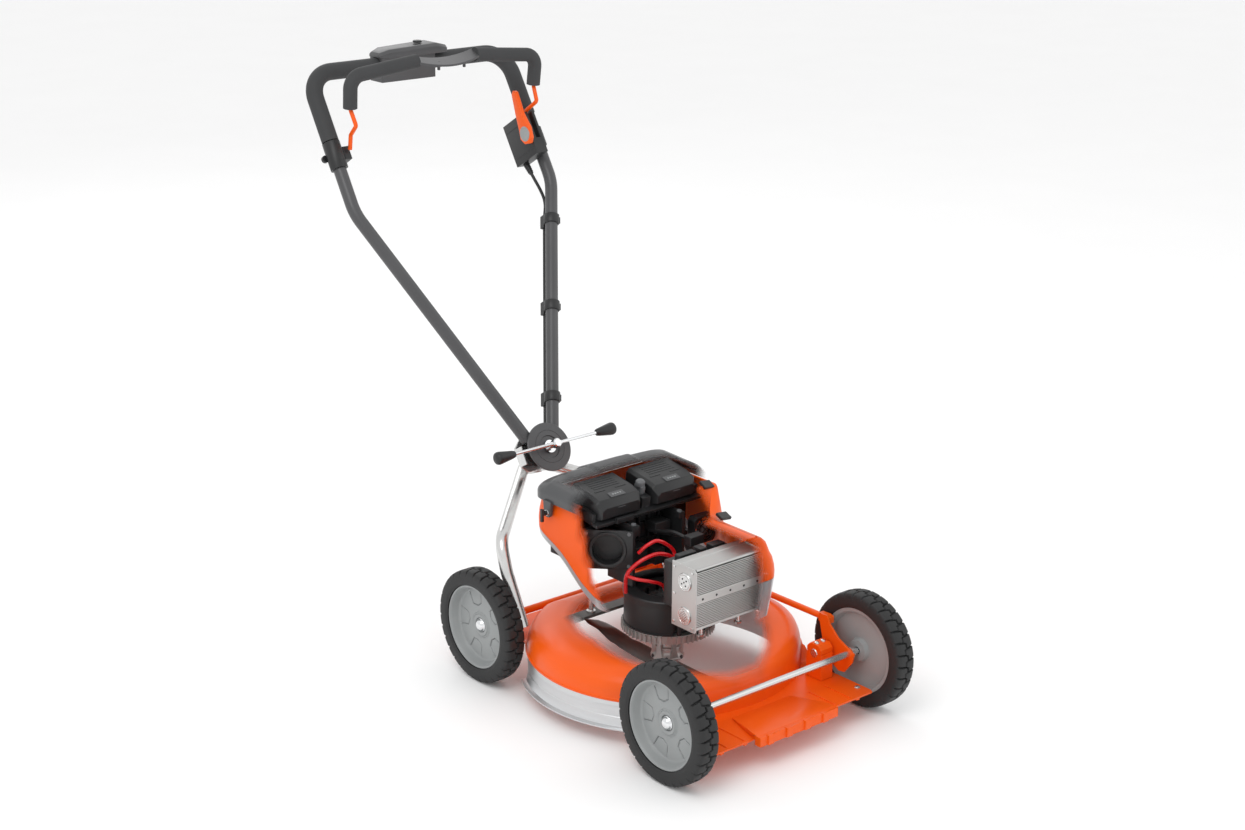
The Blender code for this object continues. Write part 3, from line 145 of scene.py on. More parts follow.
def revolved(profile: Sequence[tuple[float, float]], matrix: Matrix, count: int = 48,
             ring: bool = False) -> Shape:
    """A profile turned about a matrix's Z axis: (r cos a, r sin a, z).

    Args:
        profile: Pairs of radius and height, from one end to the other.
        matrix: Placement of the axis.
        count: Steps round the axis.
        ring: Whether the profile closes on itself, as for a part with a bore.

    Returns:
        The closed shape.
    """
    r, z = np.array(profile, float).T
    a = np.arange(count) * math.tau / count
    loops = np.stack([np.outer(r, np.cos(a)), np.outer(r, np.sin(a)),
                      np.repeat(z[:, None], count, axis=1)], axis=-1)
    return lofted(loops, ring).moved(matrix)


def extruded(outline: Sequence[tuple[float, float]], low: float, high: float,
             matrix: Optional[Matrix] = None) -> Shape:
    """A flat outline carried along Z from low to high, then placed by a matrix."""
    plan = np.array(outline, float)
    levels = np.array([low, high])
    loops = np.concatenate([np.repeat(plan[None], 2, axis=0),
                            np.repeat(levels[:, None, None], len(plan), axis=1)], axis=-1)
    return lofted(loops).moved(matrix or Matrix.Identity(4))


def block(low: Sequence[float], high: Sequence[float], matrix: Optional[Matrix] = None) -> Shape:
    """A box between two corners, placed by a matrix."""
    corners = [(low[0], low[1]), (high[0], low[1]), (high[0], high[1]), (low[0], high[1])]
    return extruded(corners, low[2], high[2], matrix)


def centred_block(size: Sequence[float], matrix: Matrix) -> Shape:
    """A box of the given size about a matrix's origin."""
    half = np.array(size) / 2.0
    return block(-half, half, matrix)


def axes(origin: Sequence[float], x_axis: Sequence[float], z_axis: Sequence[float]) -> Matrix:
    """A matrix at a point whose X and Z axes lie near the ones given."""
    z = Vector(z_axis).normalized()
    x = Vector(x_axis)
    x = (x - z * x.dot(z)).normalized()
    y = z.cross(x)
    matrix = Matrix((x, y, z)).transposed().to_4x4()
    matrix.translation = Vector(origin)
    return matrix


def swept(path: np.ndarray, radius: float, count: int = 20, bore: float = 0.0,
          across: Optional[Sequence[float]] = None) -> Shape:
    """A round bar along a path, or a tube when a bore radius is given.

    At each place p with tangent t, n is t × across and b is t × n, and the ring is
    p + radius (n cos a + b sin a).

    Args:
        path: Points along the middle, as (n, 3).
        radius: Outer radius.
        count: Steps round the bar.
        bore: Radius of the hole, or 0 for a solid bar.
        across: A direction that the path never runs along; worked out if it isn't given.

    Returns:
        The closed shape.
    """
    path = np.asarray(path, float)
    tangent = np.gradient(path, axis=0)
    tangent /= np.linalg.norm(tangent, axis=1, keepdims=True)
    if across is None:
        spread = path - path.mean(axis=0)
        across = np.linalg.svd(np.concatenate([spread, spread]))[2][2]
    n = np.cross(tangent, np.asarray(across, float))
    n /= np.linalg.norm(n, axis=1, keepdims=True)
    b = np.cross(tangent, n)
    a = np.arange(count) * math.tau / count
    spokes = n[:, None] * np.cos(a)[:, None] + b[:, None] * np.sin(a)[:, None]
    outer = path[:, None] + radius * spokes
    if not bore:
        return lofted(outer)
    inner = path[:, None] + bore * spokes
    return lofted(np.concatenate([outer, inner[::-1]]), ring=True)


def rounded_path(points: Sequence[Sequence[float]], radii: Sequence[float], steps: int = 12) -> np.ndarray:
    """A line through points whose corners become arcs of the given radii.

    Args:
        points: The corners, with the two ends.
        radii: One radius for each inner corner.
        steps: Steps of each arc.

    Returns:
        The points of the path, as (n, 3).
    """
    corners = [Vector(p) for p in points]
    path = [np.array([corners[0]])]
    for before, corner, after, radius in zip(corners, corners[1:], corners[2:], radii):
        a, b = (before - corner).normalized(), (after - corner).normalized()
        half = a.angle(b) / 2.0
        centre = corner + (a + b).normalized() * (radius / math.sin(half))
        start = np.array(corner + a * (radius / math.tan(half)) - centre)
        end = np.array(corner + b * (radius / math.tan(half)) - centre)
        sweep = Vector(start).angle(Vector(end))
        t = np.linspace(0.0, 1.0, steps + 1)[:, None]
        arc = (start * np.sin((1 - t) * sweep) + end * np.sin(t * sweep)) / math.sin(sweep)
        path.append(np.array(centre) + arc)
    path.append(np.array([corners[-1]]))
    return np.concatenate(path)


def smooth_rows(rows: np.ndarray, steps: int) -> np.ndarray:
    """A Catmull-Rom curve through points, or through whole rows of points at once.

    Each stretch is the cubic through its two points with central slopes.

    Args:
        rows: The points, or the rows of points, one after another.
        steps: Steps of each stretch.

    Returns:
        The points or rows along the curve, with the last one of all.
    """
    p = np.concatenate([[2 * rows[0] - rows[1]], rows, [2 * rows[-1] - rows[-2]]])
    t = (np.arange(steps) / steps).reshape((1, steps) + (1,) * (rows.ndim - 1))
    a, b, c, d = p[:-3, None], p[1:-2, None], p[2:-1, None], p[3:, None]
    curve = 0.5 * (2 * b + (c - a) * t + (2 * a - 5 * b + 4 * c - d) * t**2
                   + (3 * b - a - 3 * c + d) * t**3)
    return np.concatenate([curve.reshape(-1, *rows.shape[1:]), p[-2:-1]])


def smooth_path(points: Sequence[Sequence[float]], steps: int = 10) -> np.ndarray:
    """The curve of smooth_rows through a list of points."""
    return smooth_rows(np.array(points, float), steps)


def path_part(path: np.ndarray, first: float, last: float, count: int = 2) -> np.ndarray:
    """Evenly spaced points of a path between two distances from its start."""
    lengths = path_lengths(path)
    stops = np.linspace(first, last, count)
    return np.stack([np.interp(stops, lengths, path[:, i]) for i in range(3)], axis=-1)


def path_lengths(path: np.ndarray) -> np.ndarray:
    """Distance of each point from the path's start, along it."""
    return np.concatenate([[0.0], np.cumsum(np.linalg.norm(np.diff(path, axis=0), axis=1))])


def shell(outer: np.ndarray, inner: np.ndarray) -> Shape:
    """A closed wall between two matching grids of rings, with its two open edges joined."""
    return lofted(np.concatenate([outer, inner[::-1]]), ring=True)


def offset_grid(grid: np.ndarray, thickness: float, wrap: bool) -> np.ndarray:
    """The grid moved inwards along its own normals, the cross products of its two directions."""
    if wrap:
        across = np.roll(grid, -1, axis=1) - np.roll(grid, 1, axis=1)
    else:
        across = np.gradient(grid, axis=1)
    normal = np.cross(across, np.gradient(grid, axis=0))
    normal /= np.linalg.norm(normal, axis=2, keepdims=True) + 1e-12
    return grid - thickness * normal


def smoothstep(low: float, high: float, value: np.ndarray) -> np.ndarray:
    """0 below low, 1 above high, and the cubic 3t² - 2t³ between."""
    t = np.clip((value - low) / (high - low), 0.0, 1.0)
    return t * t * (3.0 - 2.0 * t)


def bump_at(angle: np.ndarray, centre: float, width: float, power: float = 2.0) -> np.ndarray:
    """A bump exp(-|off / width|^power) of height 1 about a centre angle, all in degrees."""
    off = (angle - centre + 180.0) % 360.0 - 180.0
    return np.exp(-np.abs(off / width) ** power)


# ---------------------------------------------------------------- finishes


class Pattern(Enum):
    """How the fine texture of a finish runs."""

    GRAIN = "even grain"
    BRUSHED = "lines along one axis"
    CELLS = "closed cells of foam"
    CAST = "coarse sand-cast skin"


def new_group(name: str, inputs: dict[str, object], outputs: dict[str, str]) -> bpy.types.NodeTree:
    """An empty shader node group with its sockets.

    Args:
        name: Name of the group.
        inputs: Socket names with their default values; a string gives a vector socket.
        outputs: Socket names with their socket types.

    Returns:
        The group, with one input and one output node.
    """
    group = bpy.data.node_groups.new(name, "ShaderNodeTree")
    for label, value in inputs.items():
        if isinstance(value, str):
            group.interface.new_socket(label, in_out="INPUT", socket_type="NodeSocketVector")
            continue
        kind = "NodeSocketColor" if isinstance(value, tuple) else "NodeSocketFloat"
        socket = group.interface.new_socket(label, in_out="INPUT", socket_type=kind)
        socket.default_value = value
    for label, kind in outputs.items():
        group.interface.new_socket(label, in_out="OUTPUT", socket_type=kind)
    group.nodes.new("NodeGroupInput")
    group.nodes.new("NodeGroupOutput")
    return group


class Wiring:
    """Adds nodes to a tree and links them by name."""

    def __init__(self, tree: bpy.types.NodeTree) -> None:
        """Keep the tree and find its group input and output, if any."""
        self.tree = tree
        self.source = tree.nodes.get("Group Input")
        self.sink = tree.nodes.get("Group Output")

    def node(self, kind: str, links: dict[str, object], **settings: object) -> bpy.types.Node:
        """A new node.

        Args:
            kind: Node type.
            links: Input names with a socket to link or a value to set.
            settings: Properties of the node.

        Returns:
            The node.
        """
        made = self.tree.nodes.new(kind)
        for label, value in settings.items():
            setattr(made, label, value)
        for label, value in links.items():
            socket = made.inputs[int(label)] if label.isdigit() else made.inputs[label]
            if isinstance(value, bpy.types.NodeSocket):
                self.tree.links.new(value, socket)
            else:
                socket.default_value = value
        return made

    def math(self, operation: str, first: object, second: object = 0.0) -> bpy.types.NodeSocket:
        """The result of one Math node."""
        return self.node("ShaderNodeMath", {"0": first, "1": second}, operation=operation).outputs[0]

    def mix(self, amount: object, first: object, second: object) -> bpy.types.NodeSocket:
        """Two colours mixed by an amount from 0 to 1."""
        made = self.node("ShaderNodeMix", {"0": amount}, data_type="RGBA")
        for socket, value in ((made.inputs[6], first), (made.inputs[7], second)):
            if isinstance(value, bpy.types.NodeSocket):
                self.tree.links.new(value, socket)
            else:
                socket.default_value = value
        return made.outputs[2]


@dataclass
class Effects:
    """The shader node groups that the finishes share, each built once."""

    grain: bpy.types.NodeTree = field(init=False)
    tint: bpy.types.NodeTree = field(init=False)
    dust: bpy.types.NodeTree = field(init=False)

    def __post_init__(self) -> None:
        """Build the groups."""
        self.grain = self.build_grain()
        self.tint = self.build_tint()
        self.dust = self.build_dust()

    @staticmethod
    def build_grain() -> bpy.types.NodeTree:
        """Fine relief: noise at one scale, with a third of it at three times that scale."""
        group = new_group("Fine grain", {"Vector": "", "Scale": 400.0, "Rough": 0.4, "Spread": 0.08},
                          {"Height": "NodeSocketFloat", "Roughness": "NodeSocketFloat"})
        w = Wiring(group)
        fine = w.math("MULTIPLY", w.source.outputs["Scale"], 3.0)
        base = w.node("ShaderNodeTexNoise", {"Vector": w.source.outputs["Vector"],
                                             "Scale": w.source.outputs["Scale"], "Detail": 3.0})
        small = w.node("ShaderNodeTexNoise", {"Vector": w.source.outputs["Vector"], "Scale": fine,
                                              "Detail": 1.0})
        height = w.math("ADD", w.math("MULTIPLY", small.outputs[0], 0.33), base.outputs[0])
        off = w.math("SUBTRACT", base.outputs[0], 0.5)
        rough = w.math("ADD", w.math("MULTIPLY", off, w.source.outputs["Spread"]),
                       w.source.outputs["Rough"])
        group.links.new(height, w.sink.inputs["Height"])
        group.links.new(rough, w.sink.inputs["Roughness"])
        return group

    @staticmethod
    def build_tint() -> bpy.types.NodeTree:
        """Slow change between two near colours, as in moulded or sprayed parts."""
        group = new_group("Slow tint", {"Vector": "", "Scale": 6.0, "First": (0.5, 0.5, 0.5, 1.0),
                                        "Second": (0.5, 0.5, 0.5, 1.0), "Amount": 0.6},
                          {"Colour": "NodeSocketColor", "Mask": "NodeSocketFloat"})
        w = Wiring(group)
        noise = w.node("ShaderNodeTexNoise", {"Vector": w.source.outputs["Vector"],
                                              "Scale": w.source.outputs["Scale"], "Detail": 4.0})
        ramp = w.node("ShaderNodeMapRange", {"Value": noise.outputs[0], "From Min": 0.35,
                                             "From Max": 0.65, "To Min": 0.0, "To Max": 1.0})
        mask = w.math("MULTIPLY", ramp.outputs[0], w.source.outputs["Amount"])
        colour = w.mix(mask, w.source.outputs["First"], w.source.outputs["Second"])
        group.links.new(colour, w.sink.inputs["Colour"])
        group.links.new(mask, w.sink.inputs["Mask"])
        return group

    @staticmethod
    def build_dust() -> bpy.types.NodeTree:
        """A little pale dust in specks, laid over a colour."""
        group = new_group("Dust specks", {"Vector": "", "Colour": (0.5, 0.5, 0.5, 1.0),
                                          "Dust": (0.5, 0.48, 0.45, 1.0), "Amount": 0.05},
                          {"Colour": "NodeSocketColor"})
        w = Wiring(group)
        spots = w.node("ShaderNodeTexVoronoi", {"Vector": w.source.outputs["Vector"], "Scale": 520.0})
        near = w.node("ShaderNodeMapRange", {"Value": spots.outputs["Distance"], "From Min": 0.16,
                                             "From Max": 0.05, "To Min": 0.0, "To Max": 1.0})
        patch = w.node("ShaderNodeTexNoise", {"Vector": w.source.outputs["Vector"], "Scale": 14.0})
        both = w.math("MULTIPLY", near.outputs[0], patch.outputs[0])
        amount = w.math("MULTIPLY", both, w.source.outputs["Amount"])
        colour = w.mix(amount, w.source.outputs["Colour"], w.source.outputs["Dust"])
        group.links.new(colour, w.sink.inputs["Colour"])
        return group


@dataclass(frozen=True)
class Finish:
    """One finish of the mower and how its surface varies.

    Colours are linear. relief is the height of the bump in metres, and scale the number
    of grains to the metre.
    """

    slot: str
    colour: Colour
    second: Colour
    rough: float
    metallic: float = 0.0
    pattern: Pattern = Pattern.GRAIN
    scale: float = 500.0
    relief: float = 0.00004
    spread: float = 0.10
    coat: float = 0.0
    dust: float = 0.05
    specular: float = 0.5
    along: Colour = (1.0, 1.0, 1.0)

    def build(self, effects: Effects, faded: bool) -> bpy.types.Material:
        """Make the material.

        Args:
            effects: The shared node groups.
            faded: Whether the piece fades out, by its own attribute "shown".

        Returns:
            The material, with a Principled shader fed by the groups.
        """
        material = bpy.data.materials.new(("faded_" if faded else "") + self.slot)
        material.use_nodes = True
        tree = material.node_tree
        shader = tree.nodes["Principled BSDF"]
        shader.inputs["Metallic"].default_value = self.metallic
        shader.inputs["Specular IOR Level"].default_value = self.specular
        shader.inputs["Coat Weight"].default_value = self.coat
        shader.inputs["Coat Roughness"].default_value = 0.12
        w = Wiring(tree)
        place = w.node("ShaderNodeTexCoord", {}).outputs["Object"]
        stretch = w.node("ShaderNodeMapping", {"Vector": place, "Scale": self.along}).outputs[0]
        grain = w.node("ShaderNodeGroup", {}, node_tree=effects.grain)
        tree.links.new(stretch, grain.inputs["Vector"])
        grain.inputs["Scale"].default_value = self.scale
        grain.inputs["Rough"].default_value = self.rough
        grain.inputs["Spread"].default_value = self.spread
        tint = w.node("ShaderNodeGroup", {}, node_tree=effects.tint)
        tree.links.new(stretch, tint.inputs["Vector"])
        tint.inputs["Scale"].default_value = 9.0
        tint.inputs["First"].default_value = (*self.colour, 1.0)
        tint.inputs["Second"].default_value = (*self.second, 1.0)
        dust = w.node("ShaderNodeGroup", {}, node_tree=effects.dust)
        tree.links.new(place, dust.inputs["Vector"])
        tree.links.new(tint.outputs["Colour"], dust.inputs["Colour"])
        dust.inputs["Amount"].default_value = self.dust
        height = grain.outputs["Height"]
        if self.pattern in (Pattern.CELLS, Pattern.CAST):
            cells = w.node("ShaderNodeTexVoronoi", {"Vector": place, "Scale": self.scale * 0.8})
            height = w.math("ADD", cells.outputs["Distance"], w.math("MULTIPLY", height, 0.4))
        bump = w.node("ShaderNodeBump", {"Height": height, "Strength": 0.5, "Distance": self.relief})
        tree.links.new(bump.outputs[0], shader.inputs["Normal"])
        tree.links.new(grain.outputs["Roughness"], shader.inputs["Roughness"])
        tree.links.new(dust.outputs["Colour"], shader.inputs["Base Color"])
        if faded:
            shown = w.node("ShaderNodeAttribute", {}, attribute_name="shown").outputs["Fac"]
            tree.links.new(shown, shader.inputs["Alpha"])
        return material


ORANGE: Colour = (0.880, 0.108, 0.0040)
ORANGE_DEEP: Colour = (0.820, 0.094, 0.0030)

FINISHES: dict[str, Finish] = {
    finish.slot: finish
    for finish in (
        Finish("orange_paint", ORANGE, ORANGE_DEEP, 0.34, scale=260.0, relief=0.00006, coat=0.06,
               dust=0.08, specular=0.28),
        Finish("orange_plastic", ORANGE, ORANGE_DEEP, 0.36, scale=700.0, coat=0.04, specular=0.30),
        Finish("skirt_aluminium", (0.66, 0.67, 0.68), (0.58, 0.59, 0.60), 0.34, 0.85, Pattern.BRUSHED,
               scale=160.0, along=(1.0, 1.0, 9.0)),
        Finish("cast_aluminium", (0.56, 0.56, 0.55), (0.47, 0.47, 0.46), 0.38, 0.85, Pattern.CAST,
               scale=420.0, relief=0.00005),
        Finish("zinc_plate", (0.70, 0.70, 0.69), (0.60, 0.60, 0.60), 0.24, 0.95, Pattern.BRUSHED,
               scale=240.0, along=(1.0, 6.0, 1.0)),
        Finish("chrome", (0.82, 0.83, 0.84), (0.74, 0.75, 0.76), 0.10, 1.0, relief=0.00001,
               spread=0.04, dust=0.0),
        Finish("blade_steel", (0.105, 0.092, 0.085), (0.070, 0.062, 0.058), 0.40, 0.45,
               Pattern.BRUSHED, scale=130.0, along=(6.0, 1.0, 1.0)),
        Finish("dark_grey_paint", (0.066, 0.066, 0.069), (0.050, 0.050, 0.053), 0.38, scale=420.0,
               relief=0.00005, coat=0.08),
        Finish("black_plastic", (0.0150, 0.0155, 0.0165), (0.0100, 0.0104, 0.0110), 0.42, scale=900.0,
               relief=0.00003),
        Finish("lid_plastic", (0.075, 0.077, 0.080), (0.058, 0.060, 0.063), 0.30, scale=800.0),
        Finish("grip_foam", (0.040, 0.041, 0.043), (0.030, 0.031, 0.032), 0.72, 0.0, Pattern.CELLS,
               scale=1100.0, relief=0.00018),
        Finish("tyre_rubber", (0.0150, 0.0152, 0.0158), (0.0105, 0.0106, 0.0110), 0.62, scale=380.0,
               relief=0.00010, dust=0.12),
        Finish("rim_plastic", (0.300, 0.312, 0.312), (0.255, 0.268, 0.270), 0.40, scale=520.0),
        Finish("red_insulation", (0.620, 0.006, 0.010), (0.500, 0.004, 0.008), 0.28, scale=600.0,
               relief=0.00002, coat=0.3),
        Finish("trim_silver", (0.56, 0.57, 0.59), (0.49, 0.50, 0.52), 0.30, 0.55, scale=500.0,
               coat=0.15),
        Finish("grey_plastic", (0.120, 0.124, 0.130), (0.095, 0.098, 0.104), 0.45, scale=760.0),
    )
}


@dataclass
class Workshop:
    """Makes pieces: their meshes, finishes, and what each one rides on."""

    nodes: dict[str, bpy.types.Object]
    effects: Effects = field(default_factory=Effects)
    materials: dict[tuple[str, bool], bpy.types.Material] = field(default_factory=dict)

    def material(self, slot: str, faded: bool = False) -> bpy.types.Material:
        """The material of a slot, made when it is first asked for."""
        if (slot, faded) not in self.materials:
            self.materials[(slot, faded)] = FINISHES[slot].build(self.effects, faded)
        return self.materials[(slot, faded)]

    def piece(self, name: str, shape: Shape, slot: str, body: str, replaces: Sequence[str] = (),
              bevel: float = 0.0, shown: Optional[FadeRule] = None,
              angle: float = 32.0) -> bpy.types.Object:
        """Turn a shape into a finished piece of the mower.

        Args:
            name: Name of the piece.
            shape: Its closed surfaces.
            slot: The record's material slot it takes its finish from.
            body: The body it moves with.
            replaces: CAD nodes it stands for.
            bevel: Width of its edges' rounding, or 0 for none.
            shown: How much of a point shows, from 0 to 1, where the piece fades out.
            angle: Edges sharper than this many degrees stay crisp or are bevelled.

        Returns:
            The object.
        """
        mesh = bpy.data.meshes.new(name)
        mesh.from_pydata(shape.points.tolist(), [], shape.faces)
        self.tidy(mesh)
        made = bpy.data.objects.new(name, mesh)
        bpy.context.scene.collection.objects.link(made)
        mesh.shade_smooth()
        if bevel:
            rounding = made.modifiers.new("edges", "BEVEL")
            rounding.width = bevel
            rounding.segments = 2
            rounding.limit_method = "ANGLE"
            rounding.angle_limit = math.radians(angle)
            rounding.harden_normals = True
            rounding.use_clamp_overlap = True
        else:
            mesh.set_sharp_from_angle(angle=math.radians(angle))
        if shown is not None:
            points = np.empty(len(mesh.vertices) * 3)
            mesh.vertices.foreach_get("co", points)
            attribute = mesh.attributes.new("shown", "FLOAT", "POINT")
            attribute.data.foreach_set("value", shown(points.reshape(-1, 3)).astype(np.float32))
        mesh.materials.append(self.material(slot, shown is not None))
        self.place(made, slot, body, replaces)
        return made

    @staticmethod
    def tidy(mesh: bpy.types.Mesh) -> None:
        """Merge doubled points, drop what collapses, and turn every face outwards."""
        soft = bmesh.new()
        soft.from_mesh(mesh)
        bmesh.ops.remove_doubles(soft, verts=soft.verts, dist=1e-6)
        bmesh.ops.dissolve_degenerate(soft, edges=soft.edges, dist=1e-7)
        bmesh.ops.recalc_face_normals(soft, faces=soft.faces)
        soft.to_mesh(mesh)
        soft.free()

    @staticmethod
    def place(made: bpy.types.Object, slot: str, body: str, replaces: Sequence[str]) -> None:
        """Say what a piece rides on, takes its finish from and stands for."""
        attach(made, body)
        if replaces:
            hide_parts(*replaces)
        LOG.info("%s: %s on %s", made.name, slot, body)

    def soften(self, node: str, slot: str, bevel: float, angle: float = 32.0) -> bpy.types.Object:
        """Stand a copy of a CAD node, with rounded edges and its own finish, in its place.

        Args:
            node: Name of the node.
            slot: The record's material slot.
            bevel: Width of the rounding.
            angle: Edges sharper than this many degrees are rounded.

        Returns:
            The copy, which rides on the node's body.
        """
        source = self.nodes[node]
        mesh = source.data.copy()
        mesh.name = node + "_finished"
        mesh.materials.clear()
        soft = bmesh.new()
        soft.from_mesh(mesh)
        bmesh.ops.remove_doubles(soft, verts=soft.verts, dist=1e-6)
        bmesh.ops.dissolve_limit(soft, angle_limit=math.radians(0.5), verts=soft.verts,
                                 edges=soft.edges)
        soft.to_mesh(mesh)
        soft.free()
        mesh.shade_smooth()
        made = bpy.data.objects.new(node + "_finished", mesh)
        bpy.context.scene.collection.objects.link(made)
        rounding = made.modifiers.new("edges", "BEVEL")
        rounding.width = bevel
        rounding.segments = 2
        rounding.limit_method = "ANGLE"
        rounding.angle_limit = math.radians(angle)
        rounding.harden_normals = True
        mesh.materials.append(self.material(slot))
        self.place(made, slot, source["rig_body"], (node,))
        return made


# ---------------------------------------------------------------- wheels and axles


@dataclass
class RoadWheel:
    """One wheel: a block-treaded tyre on a dished rim with five open pockets."""

    end: str
    side: int
    axle_y: float
    axle_z: float = 0.108
    centre_x: float = 0.236
    tyre_radius: float = 0.108
    half_width: float = 0.021
    rim_radius: float = 0.080
    blocks: int = 30
    groove_depth: float = 0.0042
    pockets: int = 5

    @property
    def name(self) -> str:
        """The wheel's name, as its body's."""
        return self.end + ("_left" if self.side > 0 else "_right")

    def matrix(self) -> Matrix:
        """Z runs outwards along the axle from the wheel's middle."""
        return axes((self.side * self.centre_x, self.axle_y, self.axle_z), (0, 1, 0), (self.side, 0, 0))

    def tyre(self) -> Shape:
        """The tyre as one surface of angle u and place v on its section.

        The section is flat on the tread and rounds into the sidewalls. The radius drops by
        the groove depth where the zigzag middle groove or a cross groove runs; the cross
        grooves of the two halves are half a block apart.
        """
        per_block = 20
        columns = self.blocks * per_block
        u = np.arange(columns) / per_block
        across = np.array([-1.0, -0.995, -0.97, -0.90, -0.80, -0.62, -0.45, -0.30, -0.22, -0.15, -0.08,
                           0.0, 0.08, 0.15, 0.22, 0.30, 0.45, 0.62, 0.80, 0.90, 0.97, 0.995, 1.0])
        crown = np.array([0.0905, 0.0960, 0.1010, 0.1050, 0.1068, 0.1076, 0.1079])
        radius = np.concatenate([crown, np.full(len(across) - 14, 0.1080), crown[::-1]])
        zigzag = 0.13 * np.sign(np.sin(math.tau * u))[:, None] * np.minimum(
            1.0, 4.0 * np.abs(np.sin(math.tau * u)))[:, None]
        v = across[None, :] + 0.0 * zigzag
        half = (v > zigzag).astype(float)
        phase = (u[:, None] + 0.5 * half + 0.16 * np.abs(v)) % 1.0
        cross = smoothstep(0.415, 0.455, np.abs(phase - 0.5))
        middle = 1.0 - smoothstep(0.020, 0.075, np.abs(v - zigzag))
        shoulder = smoothstep(1.0, 0.985, np.abs(v))
        depth = self.groove_depth * np.maximum(cross * shoulder, middle)
        carcass = np.minimum(radius[None, :], 0.1035)
        r = np.where(depth > 0.0, np.maximum(radius[None, :] - depth, carcass * 0.985), radius[None, :])
        side_z = self.half_width * np.concatenate([[-0.93, -0.97, -1.0, -1.0], across,
                                                   [1.0, 1.0, 0.97, 0.93]])
        side_r = np.array([self.rim_radius + 0.0005, self.rim_radius + 0.004, 0.0852, 0.0885])
        r = np.concatenate([np.repeat(side_r[None], columns, 0), r,
                            np.repeat(side_r[::-1][None], columns, 0)], axis=1)
        a = np.arange(columns) * math.tau / columns
        loops = np.stack([r * np.cos(a)[:, None], r * np.sin(a)[:, None],
                          np.repeat(side_z[None], columns, 0)], axis=-1)
        return lofted(loops, ring=True).moved(self.matrix())

    def rim(self) -> Shape:
        """The dished face as a height over radius r and angle a.

        Its profile goes from the bore over the ring boss and the flat web to the sloped wall
        and the raised lip. Ribs outline each pocket: two straight sides and a pointed inner
        end, open towards the lip.
        """
        columns = 360
        a = np.arange(columns) * math.tau / columns
        r = np.concatenate([np.linspace(0.0072, 0.0200, 8), np.linspace(0.0212, 0.0660, 38),
                            np.linspace(0.0672, 0.0800, 12)])
        face = np.interp(r, [0.0072, 0.0140, 0.0146, 0.0205, 0.0215, 0.0228, 0.0240, 0.0252, 0.066,
                             0.0690, 0.0750, 0.0765, 0.0795, 0.0800],
                         [-0.0015, -0.0015, 0.0034, 0.0034, 0.0012, 0.0012, 0.0020, 0.0002, 0.0,
                          0.0010, 0.0160, 0.0178, 0.0178, 0.0166])
        sector = math.tau / self.pockets
        off = (a + sector / 2.0) % sector - sector / 2.0
        along = r[:, None] * np.cos(off)[None, :]
        aside = r[:, None] * np.abs(np.sin(off))[None, :]
        half_w = 0.0125 + 0.22 * (along - 0.040)
        side_line = np.abs(aside - half_w)
        point = 0.0365 + 0.35 * aside
        inner_line = np.abs(along - point)
        on_side = (along > point - 0.0006)
        on_inner = (aside < half_w + 0.0006)
        rib = np.maximum((1.0 - smoothstep(0.0003, 0.0012, side_line)) * on_side,
                         (1.0 - smoothstep(0.0003, 0.0012, inner_line)) * on_inner)
        inside = (aside < half_w) & (along > point)
        web = smoothstep(0.0255, 0.027, r)[:, None] * (1.0 - smoothstep(0.0660, 0.0675, r))[:, None]
        height = face[:, None] - web * (0.0022 * rib + 0.0007 * inside)
        loops = np.stack([r[:, None] * np.cos(a), r[:, None] * np.sin(a), height], axis=-1)
        back = np.array([(0.0800, -0.0190), (0.0730, -0.0170), (0.0680, -0.0085), (0.0225, -0.0085),
                         (0.0190, -0.0170), (0.0072, -0.0170)])
        rear = np.stack([np.outer(back[:, 0], np.cos(a)), np.outer(back[:, 0], np.sin(a)),
                         np.repeat(back[:, 1:], columns, axis=1)], axis=-1)
        return lofted(np.concatenate([loops, rear]), ring=True).moved(self.matrix())

    def build(self, shop: Workshop) -> None:
        """Make the tyre and the rim."""
        body = "wheel_" + self.name
        shop.piece("tyre_" + self.name + "_tread", self.tyre(), "tyre_rubber", body,
                   ("tyre_" + self.name,), angle=38.0)
        shop.piece("rim_" + self.name + "_dish", self.rim(), "rim_plastic", body,
                   ("rim_" + self.name,), angle=40.0)


